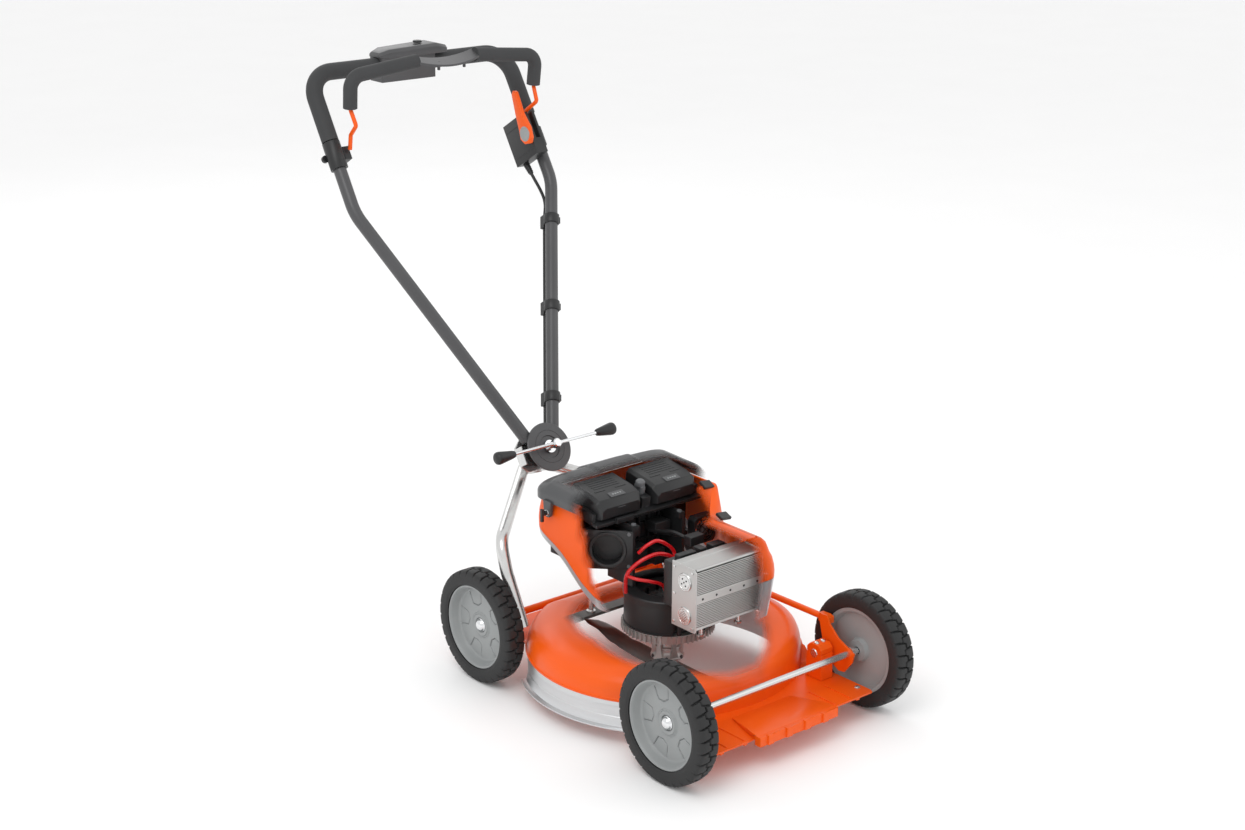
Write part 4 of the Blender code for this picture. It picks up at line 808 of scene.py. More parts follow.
@dataclass
class AxleCarrier:
    """An axle bar with its two crank plates, washers and domed wheel caps."""

    end: str
    axle_y: float
    radius: float
    bar_slot: str
    axle_z: float = 0.108
    plate_x: float = 0.194
    plate_thick: float = 0.004

    def crank(self) -> list[tuple[float, float]]:
        """The crank plate's outline as (y, z), for this end."""
        y, z = self.axle_y, self.axle_z
        if self.end == "front":
            py, pz = DECK_Y - 0.239, 0.104
            ey, ez = py + 0.013, pz + 0.050
            return [(y - 0.016, z + 0.004), (y - 0.012, z - 0.014), (y + 0.006, z - 0.038),
                    (y + 0.020, z - 0.040), (py + 0.016, pz - 0.012), (py + 0.016, pz + 0.012),
                    (ey + 0.012, ez - 0.004), (ey + 0.009, ez + 0.010), (ey - 0.007, ez + 0.011),
                    (ey - 0.014, ez - 0.004), (y + 0.024, z + 0.022)]
        py, pz = DECK_Y + 0.2826, 0.098
        ey, ez = py + 0.013, pz + 0.050
        return [(y - 0.018, z), (y - 0.010, z - 0.018), (py + 0.004, pz - 0.018),
                (py + 0.018, pz - 0.004), (ey + 0.011, ez - 0.004), (ey + 0.007, ez + 0.010),
                (ey - 0.008, ez + 0.009), (y + 0.020, z + 0.022), (y - 0.010, z + 0.018)]

    def outward(self, side: int) -> Matrix:
        """Z runs outwards along the axle, from the mower's middle."""
        return axes((0.0, self.axle_y, self.axle_z), (0, 1, 0), (side, 0, 0))

    def build(self, shop: Workshop) -> None:
        """Make the plates, the bar, the washers and the caps."""
        body = self.end + "_carrier"
        plate = extruded(self.crank(), self.plate_x, self.plate_x + self.plate_thick,
                         Matrix(((0, 0, 1, 0), (1, 0, 0, 0), (0, 1, 0, 0), (0, 0, 0, 1))))
        shop.piece(self.end + "_cranks", together(plate, plate.mirrored()), "orange_paint", body,
                   (self.end + "_axle",), bevel=0.0007)
        bar = revolved([(0.0, -0.2088), (self.radius, -0.2088), (self.radius, 0.2088), (0.0, 0.2088)],
                       self.outward(1), 28)
        shop.piece(self.end + "_axle_bar", bar, self.bar_slot, body)
        for side, word in ((-1, "right"), (1, "left")):
            out = self.outward(side)
            washer = revolved([(0.0, 0.1982), (0.0125, 0.1982), (0.0125, 0.2004), (0.0085, 0.2004),
                               (0.0085, 0.2092), (0.0, 0.2092)], out, 32)
            stub = revolved([(0.0, 0.2090), (0.0060, 0.2090), (0.0060, 0.2362), (0.0, 0.2362)], out, 24)
            cap = revolved([(0.0, 0.2352), (0.0112, 0.2352), (0.0126, 0.2362), (0.0126, 0.2382),
                            (0.0116, 0.2388), (0.0108, 0.2412), (0.0088, 0.2440), (0.0058, 0.2458),
                            (0.0025, 0.2466), (0.0, 0.2467)], out, 40)
            shop.piece(f"{self.end}_washer_{word}", washer, "zinc_plate", body)
            shop.piece(f"{self.end}_cap_{word}", together(stub, cap), "chrome", body, angle=50.0)


# ---------------------------------------------------------------- deck


@dataclass
class Deck:
    """The cast deck, faded out round the drive, with its small fittings."""

    radius: float = 0.2475
    wall: float = 0.0035
    hole_radius: float = 0.180
    apron_z: float = 0.055
    flange_z: float = 0.0795
    rear_wall_y: float = 0.2265
    columns: int = 360

    def outline(self, angle: np.ndarray) -> np.ndarray:
        """Distance from the middle to the edge: the round skirt, the apron and the rear flange.

        It is the smaller of tip_x / |cos a| and the end line's distance over sin a, and never
        less than the round wall.
        """
        across, along = np.abs(np.cos(angle)) + 1e-6, np.sin(angle)
        ahead = along < 0.0
        to_side = np.where(ahead, 0.203, 0.190) / across
        to_end = np.where(ahead, -0.346, 0.272) / np.where(ahead, along, along + 1e-6)
        return np.maximum(self.radius + 0.0035, np.minimum(to_end, to_side))

    def grid(self) -> np.ndarray:
        """Rings from the motor opening over the dome and down to the outer edge.

        Each ring is a radius and a height that change with the angle: the dome bulges and
        rises towards the left front wheel, and its rear wall is cut flat.
        """
        a = np.arange(self.columns) * math.tau / self.columns
        degrees = np.degrees(a)
        radii = np.array([self.hole_radius, 0.2020, 0.2225, 0.2375, 0.2450, self.radius])
        heights = np.array([0.1370, 0.1340, 0.1270, 0.1160, 0.1020, 0.0860])
        scale = 1.0 + 0.042 * bump_at(degrees, -35.0, 30.0)
        scale = np.minimum(scale, self.rear_wall_y / ((self.radius + 0.004) * np.maximum(np.sin(a), 0.01)))
        lift = 1.0 + 0.28 * bump_at(degrees, -32.0, 28.0)
        hole = self.hole_radius + 0.034 * bump_at(degrees, 276.0, 22.0, 4.0)
        rim = (self.radius + 0.0015) * scale
        r = np.maximum(hole[None] + 0.0045 * np.arange(6)[:, None], radii[:, None] * scale[None])
        z = 0.0860 + lift * (np.interp(r / scale[None], radii, heights) - 0.0860)
        reach = np.maximum(self.outline(a), rim + 0.002)
        wide = smoothstep(0.003, 0.025, reach - rim)
        level = np.where(np.sin(a) > 0.0, self.flange_z, self.apron_z)
        foot = (1.0 - wide) * 0.0840 + wide * level
        steps = np.array([0.0, 0.06, 0.12, 0.34, 0.55, 1.0])[:, None]
        low_r = rim[None] + steps * (reach - rim)[None]
        low_z = foot[None] - 0.0005 * steps
        dome = smooth_rows(np.stack([r, z], axis=-1), 6)
        inward = np.array([0.140, 0.150, 0.160, 0.170])[:, None] / self.hole_radius * hole[None]
        flat = np.stack([inward, np.repeat(z[:1], 4, axis=0)], axis=-1)
        dome = np.concatenate([flat, dome])
        rings = np.concatenate([dome, np.stack([low_r, low_z], axis=-1)])
        radius, height = rings[..., 0], rings[..., 1]
        crease = np.exp(-((height - 0.1165) / 0.0016) ** 2) * (radius < self.radius * 1.03)
        radius = radius - 0.0008 * crease
        return np.stack([radius * np.cos(a), radius * np.sin(a) + DECK_Y, height], axis=-1)

    def shell(self) -> Shape:
        """The deck's wall: the grid and its copy moved down and in by the wall's thickness."""
        outer = self.grid()
        inner = outer.copy()
        inner[..., 2] -= self.wall
        centre = np.array([0.0, DECK_Y])
        planar = outer[..., :2] - centre
        steep = (outer[..., 2] < 0.128) & (outer[..., 2] > 0.0845)
        reach = np.linalg.norm(planar, axis=2, keepdims=True)
        inner[..., :2] = centre + planar * (1.0 - np.where(steep, 1.0, 0.2)[..., None] * self.wall / reach)
        return shell(outer, inner)

    @staticmethod
    def shown(points: np.ndarray) -> np.ndarray:
        """How much of the deck shows: it fades in over 32 mm, and the edge below always shows.

        The radius where it starts changes with the angle, and is greatest in front.
        """
        x, y = points[:, 0], points[:, 1] - DECK_Y
        reach = np.hypot(x, y)
        angle = np.degrees(np.arctan2(y, x))
        start = np.interp(angle, [-180, -165, -150, -120, -100, -85, -70, -50, -14, 30, 90, 180],
                          [0.145, 0.162, 0.182, 0.208, 0.222, 0.222, 0.200, 0.172, 0.165, 0.155, 0.150,
                           0.145])
        over = smoothstep(0.0, 0.032, reach - start)
        return np.where(points[:, 2] < 0.086, 1.0, over)

    @staticmethod
    def sliced(bar: Shape) -> Shape:
        """A bar along X with 60 stations instead of two, so that it can fade along its length."""
        low, high = bar.points.min(axis=0), bar.points.max(axis=0)
        x = np.linspace(low[0], high[0], 60)
        section = [(low[1], low[2]), (high[1], low[2]), (high[1], high[2] - 0.001),
                   (high[1] - 0.001, high[2]), (low[1] + 0.001, high[2]), (low[1], high[2] - 0.001)]
        loops = np.stack([np.column_stack([x, np.full(len(x), y), np.full(len(x), z)])
                          for y, z in section], axis=1)
        return lofted(loops)

    @staticmethod
    def bar_shown(points: np.ndarray) -> np.ndarray:
        """How much of the cross bar shows: it fades towards its two ends."""
        return 1.0 - smoothstep(0.105, 0.150, np.abs(points[:, 0]))

    def fittings(self, shop: Workshop) -> None:
        """Pegs and ribs under the apron, flange screws and the foot bolts."""
        pegs = [block((x - 0.004, DECK_Y - 0.3450, 0.0475),
                      (x + 0.004, DECK_Y - 0.3380, self.apron_z - 0.003))
                for x in np.arange(-3, 4) * 0.055]
        shop.piece("apron_pegs", together(*pegs), "orange_paint", "chassis", bevel=0.0008)
        ribs = []
        for side in (-1, 1):
            for place in (0.110, 0.150):
                ribs.append(block((side * place - 0.0016, DECK_Y - 0.3400, self.apron_z - 0.0008),
                                  (side * place + 0.0016, DECK_Y - 0.2750, self.apron_z + 0.0014)))
        shop.piece("apron_ribs", together(*ribs), "orange_paint", "chassis", bevel=0.0006)
        heads = []
        for x, y, z in ((-0.125, 0.2520, 0.0790), (0.125, 0.2520, 0.0790), (0.0, 0.2520, 0.0790),
                        (-0.196, -0.318, 0.0545), (0.196, -0.318, 0.0545)):
            heads.append(revolved([(0.0, 0.0), (0.0055, 0.0), (0.0055, 0.0016), (0.0035, 0.0030),
                                   (0.0, 0.0034)], Matrix.Translation((x * 0.97, DECK_Y + y, z)), 24))
        shop.piece("deck_screws", together(*heads), "zinc_plate", "chassis")
        bolts = []
        for x in (-0.092, 0.092):
            at = Matrix.Translation((x, DECK_Y + 0.092, 0.1432))
            bolts.append(revolved([(0.0, 0.0), (0.0085, 0.0), (0.0085, 0.0030), (0.0050, 0.0032),
                                   (0.0050, 0.0460), (0.0075, 0.0462), (0.0075, 0.0520),
                                   (0.0, 0.0522)], at, 24))
        shop.piece("foot_bolts", together(*bolts), "zinc_plate", "chassis")

    def build(self, shop: Workshop) -> None:
        """Make the deck and everything fixed to it."""
        shop.piece("deck_casting", self.shell(), "orange_paint", "chassis", ("deck_shell",),
                   shown=self.shown, angle=50.0)
        self.fittings(shop)
        for end in ("front", "rear"):
            for side, x in (("right", -0.172), ("left", 0.172)):
                self.pivot_block(shop, end, side, x)
        shop.soften("front_guard", "orange_paint", 0.0012)
        bar = block((-0.170, DECK_Y + 0.078, 0.1380), (0.170, DECK_Y + 0.106, 0.1430))
        shop.piece("cross_bar_rolled", self.sliced(bar), "blade_steel", "chassis", ("cross_bar",),
                   shown=self.bar_shown, angle=30.0)
        for side, sign in (("right", 1), ("left", -1)):
            shop.piece("skirt_" + side + "_rolled", self.skirt(sign), "skirt_aluminium", "chassis",
                       ("skirt_" + side,), angle=30.0)

    def skirt(self, sign: int) -> Shape:
        """A side skirt: one rolled profile carried round the deck from 150 to 215 degrees."""
        a = np.radians(np.linspace(150.0, 215.0, 66))
        radius = 0.250
        profile = np.array([(radius - 0.0045, 0.0795), (radius - 0.0040, 0.060), (radius - 0.0035, 0.045),
                            (radius - 0.001, 0.0300), (radius + 0.010, 0.0300), (radius + 0.010, 0.0322),
                            (radius + 0.0020, 0.0340), (radius + 0.0004, 0.0370), (radius - 0.0008, 0.0450),
                            (radius - 0.0008, 0.0500), (radius - 0.0016, 0.0508), (radius - 0.0016, 0.0700),
                            (radius - 0.0008, 0.0708), (radius - 0.0012, 0.0795)])
        loops = np.stack([np.outer(np.cos(a), profile[:, 0]), np.outer(np.sin(a), profile[:, 0]) + DECK_Y,
                          np.repeat(profile[None, :, 1], len(a), axis=0)], axis=-1)
        made = lofted(loops)
        return made if sign > 0 else made.mirrored()

    def pivot_block(self, shop: Workshop, end: str, side: str, x: float) -> None:
        """A split pivot block: two halves with a joint line, a bore and two domed screws."""
        y = DECK_Y + (-0.239 if end == "front" else 0.2826)
        z, base = (0.104, self.apron_z + 0.0003) if end == "front" else (0.098, self.flange_z + 0.0003)
        name = f"pivot_block_{end}_{side}"
        split = z + 0.0002
        lower = [(y - 0.020, base), (y + 0.020, base), (y + 0.0185, split), (y - 0.0185, split)]
        upper = [(y - 0.0180, split + 0.0008), (y + 0.0180, split + 0.0008), (y + 0.018, z + 0.010),
                 (y + 0.010, z + 0.018), (y - 0.010, z + 0.018), (y - 0.018, z + 0.010)]
        core = [(y - 0.0165, split - 0.004), (y + 0.0165, split - 0.004), (y + 0.0165, split + 0.004),
                (y - 0.0165, split + 0.004)]
        halves = together(extruded(lower, x - 0.015, x + 0.015, ALONG_X),
                          extruded(upper, x - 0.015, x + 0.015, ALONG_X),
                          extruded(core, x - 0.0138, x + 0.0138, ALONG_X))
        shop.piece(name + "_halves", halves, "orange_paint", "chassis", (name,), bevel=0.0010)
        screws = [revolved([(0.0, 0.0), (0.0052, 0.0), (0.0052, 0.0008), (0.0046, 0.0022),
                            (0.0026, 0.0032), (0.0, 0.0034)],
                           Matrix.Translation((x + dx, y, z + 0.0178)), 24) for dx in (-0.008, 0.008)]
        shop.piece(name + "_screws", together(*screws), "zinc_plate", "chassis")
        bore = [revolved([(0.0, 0.0), (0.0085, 0.0), (0.0075, 0.0014), (0.0, 0.0014)],
                         axes((x + s * 0.0148, y, z), (0, 1, 0), (s, 0, 0)), 28) for s in (-1, 1)]
        shop.piece(name + "_bushes", together(*bore), "zinc_plate", "chassis")


# ---------------------------------------------------------------- drive


@dataclass
class Motor:
    """The brushless motor: spindle casting, windings, rotor, shroud and blade."""

    base_z: float = 0.124
    shroud_low: float = 0.1412
    shroud_high: float = 0.2070
    radius: float = 0.083
    rim_fins: int = 54

    def at(self, z: float = 0.0) -> Matrix:
        """Z is the motor shaft, from the given height."""
        return Matrix.Translation((0.0, MOTOR_Y, z))

    def spoke(self, angle: float, radius: float, z: float) -> Matrix:
        """A place at an angle in degrees round the shaft, with X pointing outwards."""
        return self.at(z) @ Matrix.Rotation(math.radians(angle), 4,
                                            "Z") @ Matrix.Translation((radius, 0, 0))

    def casting(self) -> Shape:
        """The spindle housing and motor plate, one profile turned about the shaft."""
        top = self.shroud_low - 0.0007
        profile = [(0.0095, 0.0665), (0.0290, 0.0665), (0.0310, 0.0680), (0.0310, 0.0715), (0.0290, 0.0738),
                   (0.0240, 0.0775), (0.0222, 0.0820), (0.0214, 0.0860), (0.0240, 0.0875), (0.0240, 0.0905),
                   (0.0210, 0.0920), (0.0205, 0.1010), (0.0218, 0.1060), (0.0244, 0.1110), (0.0285, 0.1180),
                   (0.0340, 0.1215), (0.0400, self.base_z), (0.0780, self.base_z + 0.0005),
                   (0.0815, self.base_z + 0.0020), (0.0815, top), (0.0480, top), (0.0480, 0.1342),
                   (0.0175, 0.1342), (0.0175, 0.0760), (0.0095, 0.0760)]
        return revolved(profile, self.at(), 96, ring=True)

    def casting_ribs(self) -> Shape:
        """Cooling fins round the rim, webs on the spindle legs, and screw bosses."""
        ribs = []
        high = self.shroud_low - 0.0010
        for i in range(self.rim_fins):
            spot = self.spoke(360.0 * i / self.rim_fins, 0.0835, (self.base_z + high) / 2.0 + 0.0010)
            ribs.append(centred_block((0.0060, 0.0026, high - self.base_z - 0.0030), spot))
        for i in range(6):
            angle = 60.0 * i + 15.0
            legs = [(-0.0095, 0.0), (0.0095, 0.0), (0.0040, 0.020), (0.0028, 0.040), (-0.0028, 0.040),
                    (-0.0040, 0.020)]
            ribs.append(extruded(legs, -0.0075, 0.0085, self.spoke(angle, 0.0205, 0.0672) @ ALONG_X))
            boss = self.spoke(angle + 30.0, 0.0745, self.base_z - 0.0004)
            ribs.append(revolved([(0.0, 0.0), (0.0055, 0.0), (0.0055, 0.0155), (0.0, 0.0155)], boss, 20))
        return together(*ribs)

    def windings(self) -> Shape:
        """Twelve stator coils: rounded bars standing in a ring."""
        coils = []
        for i in range(12):
            coils.append(centred_block((0.0250, 0.0200, 0.0470), self.spoke(30.0 * i, 0.0560, 0.1686)))
        core = revolved([(0.0430, 0.1414), (0.0695, 0.1414), (0.0695, 0.1480), (0.0430, 0.1480)], self.at(),
                        64, True)
        top = revolved([(0.0430, 0.1900), (0.0695, 0.1900), (0.0695, 0.1958), (0.0430, 0.1958)], self.at(),
                       64, True)
        return together(*coils, core, top)

    def shroud(self) -> Shape:
        """The black motor cover: one profile carried 305 degrees round the shaft."""
        a = np.radians(np.linspace(290.0, 595.0, 123))
        r, low, high = self.radius, self.shroud_low, self.shroud_high
        profile = np.array([(r - 0.0002, low), (r, low + 0.0030), (r - 0.0016, low + 0.0034),
                            (r - 0.0016, high - 0.0140), (r, high - 0.0136), (r + 0.001, high - 0.0020),
                            (r - 0.001, high), (0.060, high + 0.002), (0.060, high - 0.001),
                            (r - 0.004, high - 0.003), (r - 0.004, low)])
        loops = np.stack([np.outer(np.cos(a), profile[:, 0]), np.outer(np.sin(a), profile[:, 0]) + MOTOR_Y,
                          np.repeat(profile[None, :, 1], len(a), axis=0)], axis=-1)
        return lofted(loops)

    def build(self, shop: Workshop) -> None:
        """Make the motor, its shaft and the blade."""
        shop.piece("spindle_casting", together(self.casting(), self.casting_ribs()), "cast_aluminium",
                   "chassis", ("motor_base",), angle=36.0)
        heads = []
        for angle in np.arange(6) * 60.0 + 45.0:
            outwards = (math.cos(math.radians(angle)), math.sin(math.radians(angle)), 0.15)
            head = axes(self.spoke(angle, 0.0300, 0.0722).translation, (0, 0, 1), outwards)
            heads.append(revolved([(0.0, 0.0), (0.0042, 0.0), (0.0042, 0.0010), (0.0, 0.0010)], head, 6))
        shop.piece("spindle_bolt_heads", together(*heads), "black_plastic", "chassis")
        screws = [revolved([(0.0, 0.0), (0.0036, 0.0), (0.0036, 0.0024), (0.0, 0.0026)],
                           self.spoke(60.0 * i + 45.0, 0.0745, self.base_z - 0.0028), 18) for i in range(6)]
        shop.piece("casting_screws", together(*screws), "zinc_plate", "chassis")
        shop.piece("stator_coils", self.windings(), "black_plastic", "chassis", ("motor_stator",),
                   bevel=0.0020)
        shop.piece("motor_cover", self.shroud(), "black_plastic", "chassis", ("motor_shroud",))
        posts = [block((-0.003, -0.004, self.shroud_low), (0.0012, 0.004, self.shroud_high - 0.001),
                       self.spoke(angle, 0.0805, 0.0)) for angle in (243.0, 262.0, 281.0)]
        shop.piece("cover_posts", together(*posts), "black_plastic", "chassis", bevel=0.0006)
        clamp_z = 0.0515
        rotor = [(0.0, clamp_z), (0.020, clamp_z), (0.020, clamp_z + 0.004), (0.0085, clamp_z + 0.005),
                 (0.0085, 0.1430), (0.040, 0.1435), (0.040, 0.1835), (0.0085, 0.1840), (0.0085, 0.1950),
                 (0.0, 0.1955)]
        shop.piece("rotor_turned", revolved(rotor, self.at(), 64), "zinc_plate", "rotor", ("rotor_shaft",))
        bearing = [(0.0088, 0.0), (0.0172, 0.0), (0.0172, 0.012), (0.0088, 0.012)]
        shop.piece("bearing_race", revolved(bearing, self.at(0.1215), 48, True), "chrome", "chassis",
                   ("spindle_bearing",))
        self.blade(shop)

    def blade(self, shop: Workshop) -> None:
        """The mulching blade: a flat bar whose ends lift and twist by smooth steps, with its bolt."""
        s = np.linspace(-1.0, 1.0, 97)
        stations = np.array([-1.0, -0.80, -0.62, -0.30, 0.30, 0.62, 0.80, 1.0])
        lift = np.interp(s, stations, [0.014, 0.012, 0.003, 0.0, 0.0, 0.003, 0.012, 0.014])
        twist = np.interp(s, stations, [0.014, 0.013, 0.004, 0.0, 0.0, 0.004, 0.013, 0.014]) * np.sign(s)
        half = 0.024 - 0.004 * smoothstep(0.93, 1.0, np.abs(s)) - 0.0022 * bump_at(360 * np.abs(s), 210, 18)
        u = np.array([-1.0, -0.72, -0.30, 0.0, 0.30, 0.72, 1.0])
        x = half[:, None] * u
        y = np.repeat((MOTOR_Y + s * 0.216)[:, None], len(u), axis=1)
        z = 0.048 + lift[:, None] - 0.5 * twist[:, None] * u
        thick = np.array([0.0012, 0.0032, 0.0032, 0.0032, 0.0032, 0.0032, 0.0012])
        top = np.stack([x, y, z + thick], axis=-1)
        under = np.stack([x, y, z], axis=-1)
        bar = lofted(np.concatenate([under, top[:, ::-1]], axis=1))
        bolt = revolved([(0.0, 0.0380), (0.0098, 0.0380), (0.0115, 0.0395), (0.0115, 0.0490),
                         (0.0, 0.0490)], self.at(), 6)
        shop.piece("blade_ground", together(bar, bolt), "blade_steel", "rotor", ("blade",), angle=22.0)


@dataclass
class PowerUnit:
    """Heat sink with its end plate, controller, batteries, housing, fan, key and leads."""

    sink_half: float = 0.078
    sink_y: tuple[float, float] = (DECK_Y - 0.180, DECK_Y - 0.117)
    sink_z: tuple[float, float] = (0.194, 0.306)
    fins: int = 14
    tilt: float = math.radians(9.0)

    def slope(self, x: float) -> Matrix:
        """X across, Y up the batteries' slope, from a battery's front foot."""
        return Matrix.Translation((x, DECK_Y + 0.040, 0.338)) @ Matrix.Rotation(self.tilt, 4, "X")

    def heat_sink(self, shop: Workshop) -> None:
        """A finned extrusion with a plain middle strip, round edge bead and five holes, whose dark insides
        are painted shade: black discs on its face.
        """
        (y0, y1), (z0, z1) = self.sink_y, self.sink_z
        mid = (z0 + z1) / 2.0
        pitch = (mid - 0.0075 - z0 - 0.003) / self.fins
        front = []
        for start in (z0 + 0.003, mid + 0.0075):
            for i in range(self.fins):
                z = start + i * pitch
                front += [(y0 + 0.0004, z), (y0, z + 0.1 * pitch), (y0, z + pitch * 0.50),
                          (y0 + 0.0004, z + pitch * 0.60), (y0 + 0.0070, z + pitch * 0.60),
                          (y0 + 0.0070, z + pitch * 0.98)]
            if start < mid:
                front += [(y0, start + self.fins * pitch), (y0, mid + 0.0070)]
        bead = [(y0, z1 - 0.0006), (y0 + 0.0012, z1 + 0.0010), (y0 + 0.0040, z1 + 0.0020),
                (y0 + 0.0062, z1 + 0.0012), (y0 + 0.0070, z1 - 0.0004), (y1 - 0.020, z1 + 0.0002),
                (y1 - 0.018, z1 + 0.0016), (y1 - 0.004, z1 + 0.0016), (y1, z1)]
        body = extruded([(y1, z0), (y0, z0)] + front + bead, -self.sink_half, self.sink_half, ALONG_X)
        shop.piece("heat_sink_extrusion", body, "cast_aluminium", "chassis", ("heat_sink",), angle=12.0)
        # The five holes are black discs on the face: painted shade for the dark inside of each hole.
        hole_shade_discs = [revolved([(0.0, -0.0006), (0.0023, -0.0006), (0.0023, 0.0003), (0.0, 0.0003)],
                         axes((-0.064 + 0.0327 * i, y0, mid), (1, 0, 0), (0, -1, 0)), 20) for i in range(5)]
        shop.piece("sink_hole_shade_discs", together(*hole_shade_discs), "black_plastic", "chassis")
        x = -self.sink_half - 0.0003
        plate = [(y1 - 0.001, z0 - 0.006), (y0 + 0.001, z0 - 0.006), (y0 - 0.001, z0 - 0.003),
                 (y0 - 0.001, z1 - 0.004), (y0 + 0.005, z1 + 0.002), (y1 - 0.001, z1 + 0.003)]
        shop.piece("end_plate", extruded(plate, x - 0.003, x, ALONG_X), "cast_aluminium", "chassis",
                   ("sink_end_plate",), bevel=0.0008)
        far = -x
        shop.piece("far_end_plate", extruded(plate, far, far + 0.0030, ALONG_X), "cast_aluminium",
                   "chassis", bevel=0.0008)
        middle = (y0 + y1) / 2.0 - 0.004
        ring, fine = [], []
        for z, small in ((z1 - 0.028, False), (z0 + 0.020, True)):
            at = axes((x - 0.003, middle, z), (0, 1, 0), (-1, 0, 0))
            profile = [(0.0, 0.0), (0.0168, 0.0), (0.0168, 0.0012), (0.0158, 0.0022), (0.0142, 0.0022),
                       (0.0136, 0.0014), (0.0130, 0.0014), (0.0124, 0.0028), (0.0, 0.0030)]
            ring.append(revolved(profile, at, 56))
            if small:
                steps = np.arange(-3, 4) * 0.0031
                spots = [(u, v, 0.0007) for u in steps for v in steps if math.hypot(u, v) < 0.0105]
            else:
                spots = [(0.0070 * math.cos(a), 0.0070 * math.sin(a), 0.0016)
                         for a in np.arange(4) * math.tau / 4 + 0.6]
                spots.append((0.0, 0.0, 0.0016))
            # Each vent hole in the caps is a black disc: painted shade for the dark inside of the hole.
            for u, v, r in spots:
                hole = at @ Matrix.Translation((u, v, 0.0))
                fine.append(revolved([(0.0, 0.0), (r, 0.0), (r, 0.0033), (0.0, 0.0033)], hole, 12))
        shop.piece("gland_caps", together(*ring), "zinc_plate", "chassis")
        shop.piece("gland_hole_shade_discs", together(*fine), "black_plastic", "chassis")
        corner = []
        for y, z in ((y0 + 0.007, z0 + 0.002), (y1 - 0.008, z0 + 0.002), (y0 + 0.009, z1 - 0.006),
                     (y1 - 0.008, z1 - 0.006), (y1 - 0.008, (z0 + z1) / 2.0)):
            corner.append(revolved([(0.0, 0.0), (0.0030, 0.0), (0.0027, 0.0016), (0.0, 0.0018)],
                                   axes((x - 0.003, y, z), (0, 1, 0), (-1, 0, 0)), 20))
        shop.piece("plate_screws", together(*corner), "zinc_plate", "chassis")
        bolts = []
        for bx in (-0.040, 0.050):
            at = Matrix.Translation((bx, DECK_Y - 0.150, 0.1640))
            bolt = [(0.0, 0.0), (0.0068, 0.0), (0.0072, 0.0035), (0.0040, 0.0040), (0.0040, 0.0160),
                    (0.0055, 0.0162), (0.0060, 0.0300), (0.0, 0.0305)]
            bolts.append(revolved(bolt, at, 24))
        shop.piece("sink_bolts", together(*bolts), "zinc_plate", "chassis")

    def batteries(self, shop: Workshop) -> None:
        """Two packs with a stepped top, a charge window, a latch slot and side ribs."""
        for name, x in (("left", 0.066), ("right", -0.066)):
            at, half, body = self.slope(x), 0.052, name + "_battery"
            u = np.array([(0.000, half - 0.008, 0.004, 0.026), (0.012, half - 0.001, 0.0, 0.038),
                          (0.030, half, 0.0, 0.041), (0.085, half, 0.0, 0.041),
                          (0.092, half - 0.006, 0.004, 0.033)])
            c = 0.006
            loops = np.array([[(-h, y, lo), (h, y, lo), (h, y, hi - c), (h - c, y, hi), (-h + c, y, hi),
                               (-h, y, hi - c)]
                              for y, h, lo, hi in u])
            shop.piece("battery_" + name + "_case", lofted(loops).moved(at), "black_plastic", body,
                       ("battery_" + name,), bevel=0.0012)
            window = centred_block((0.034, 0.014, 0.0012), at @ Matrix.Translation((0.0, 0.0190, 0.0398))
                                   @ Matrix.Rotation(0.12, 4, "X"))
            shop.piece("battery_" + name + "_window", window, "lid_plastic", body, bevel=0.0004)
            lamps = []
            for i in range(4):
                lamp = at @ Matrix.Translation((-0.0085 + 0.0056 * i, 0.0185, 0.0406))
                lamps.append(centred_block((0.0036, 0.0028, 0.0008), lamp @ Matrix.Rotation(0.12, 4, "X")))
            shop.piece("battery_" + name + "_lamps", together(*lamps), "rim_plastic", body)
            slots = [block((sx - 0.012, 0.036, 0.0402), (sx + 0.012, 0.0385, 0.0418), at)
                     for sx in (-0.024, 0.024)]
            ribs = [block((-0.030, 0.046 + 0.007 * i, 0.0404), (0.030, 0.0485 + 0.007 * i, 0.0417), at)
                    for i in range(5)]
            shop.piece("battery_" + name + "_ribs", together(*slots, *ribs), "black_plastic", body,
                       bevel=0.0003)
            latch = centred_block((0.018, 0.004, 0.009), at @ Matrix.Translation((0.0, 0.0040, 0.0240))
                                  @ Matrix.Rotation(-0.8, 4, "X"))
            shop.piece("battery_" + name + "_latch", latch, "grey_plastic", body, bevel=0.0008)

    def housing(self, shop: Workshop) -> None:
        """The electronics housing, controller, tray and fan, with ribs, screw bosses and plugs."""
        for node, bevel in (("duct_housing", 0.0010), ("battery_tray", 0.0010),
                            ("controller_case", 0.0018)):
            shop.soften(node, "black_plastic", bevel)
        bosses = []
        for x, y, z in ((-0.058, 0.017, 0.3275), (0.058, 0.017, 0.3275)):
            bosses.append(revolved([(0.0, 0.0), (0.0048, 0.0), (0.0044, 0.0022), (0.0018, 0.0022),
                                    (0.0, 0.0012)],
                                   Matrix.Translation((x * 0.95, DECK_Y + y, z)), 24))
        shop.piece("housing_bosses", together(*bosses), "grey_plastic", "chassis")
        parts = []
        for i in range(5):
            parts.append(block((-0.050 + 0.024 * i, DECK_Y + 0.0645, 0.214),
                               (-0.046 + 0.024 * i, DECK_Y + 0.0722, 0.322)))
        for z in (0.236, 0.268, 0.300):
            parts.append(block((-0.056, DECK_Y + 0.0660, z), (0.056, DECK_Y + 0.0722, z + 0.003)))
        for x, y, z, sx, sy, sz in ((-0.020, 0.050, 0.250, 0.030, 0.030, 0.040),
                                    (0.026, 0.052, 0.240, 0.024, 0.034, 0.030),
                                    (0.030, 0.048, 0.298, 0.036, 0.030, 0.020),
                                    (-0.030, 0.052, 0.300, 0.022, 0.024, 0.020)):
            parts.append(centred_block((sx, sy, sz), Matrix.Translation((x, DECK_Y + y, z))))
        shop.piece("housing_inside", together(*parts), "black_plastic", "chassis", bevel=0.0010)
        tops = []
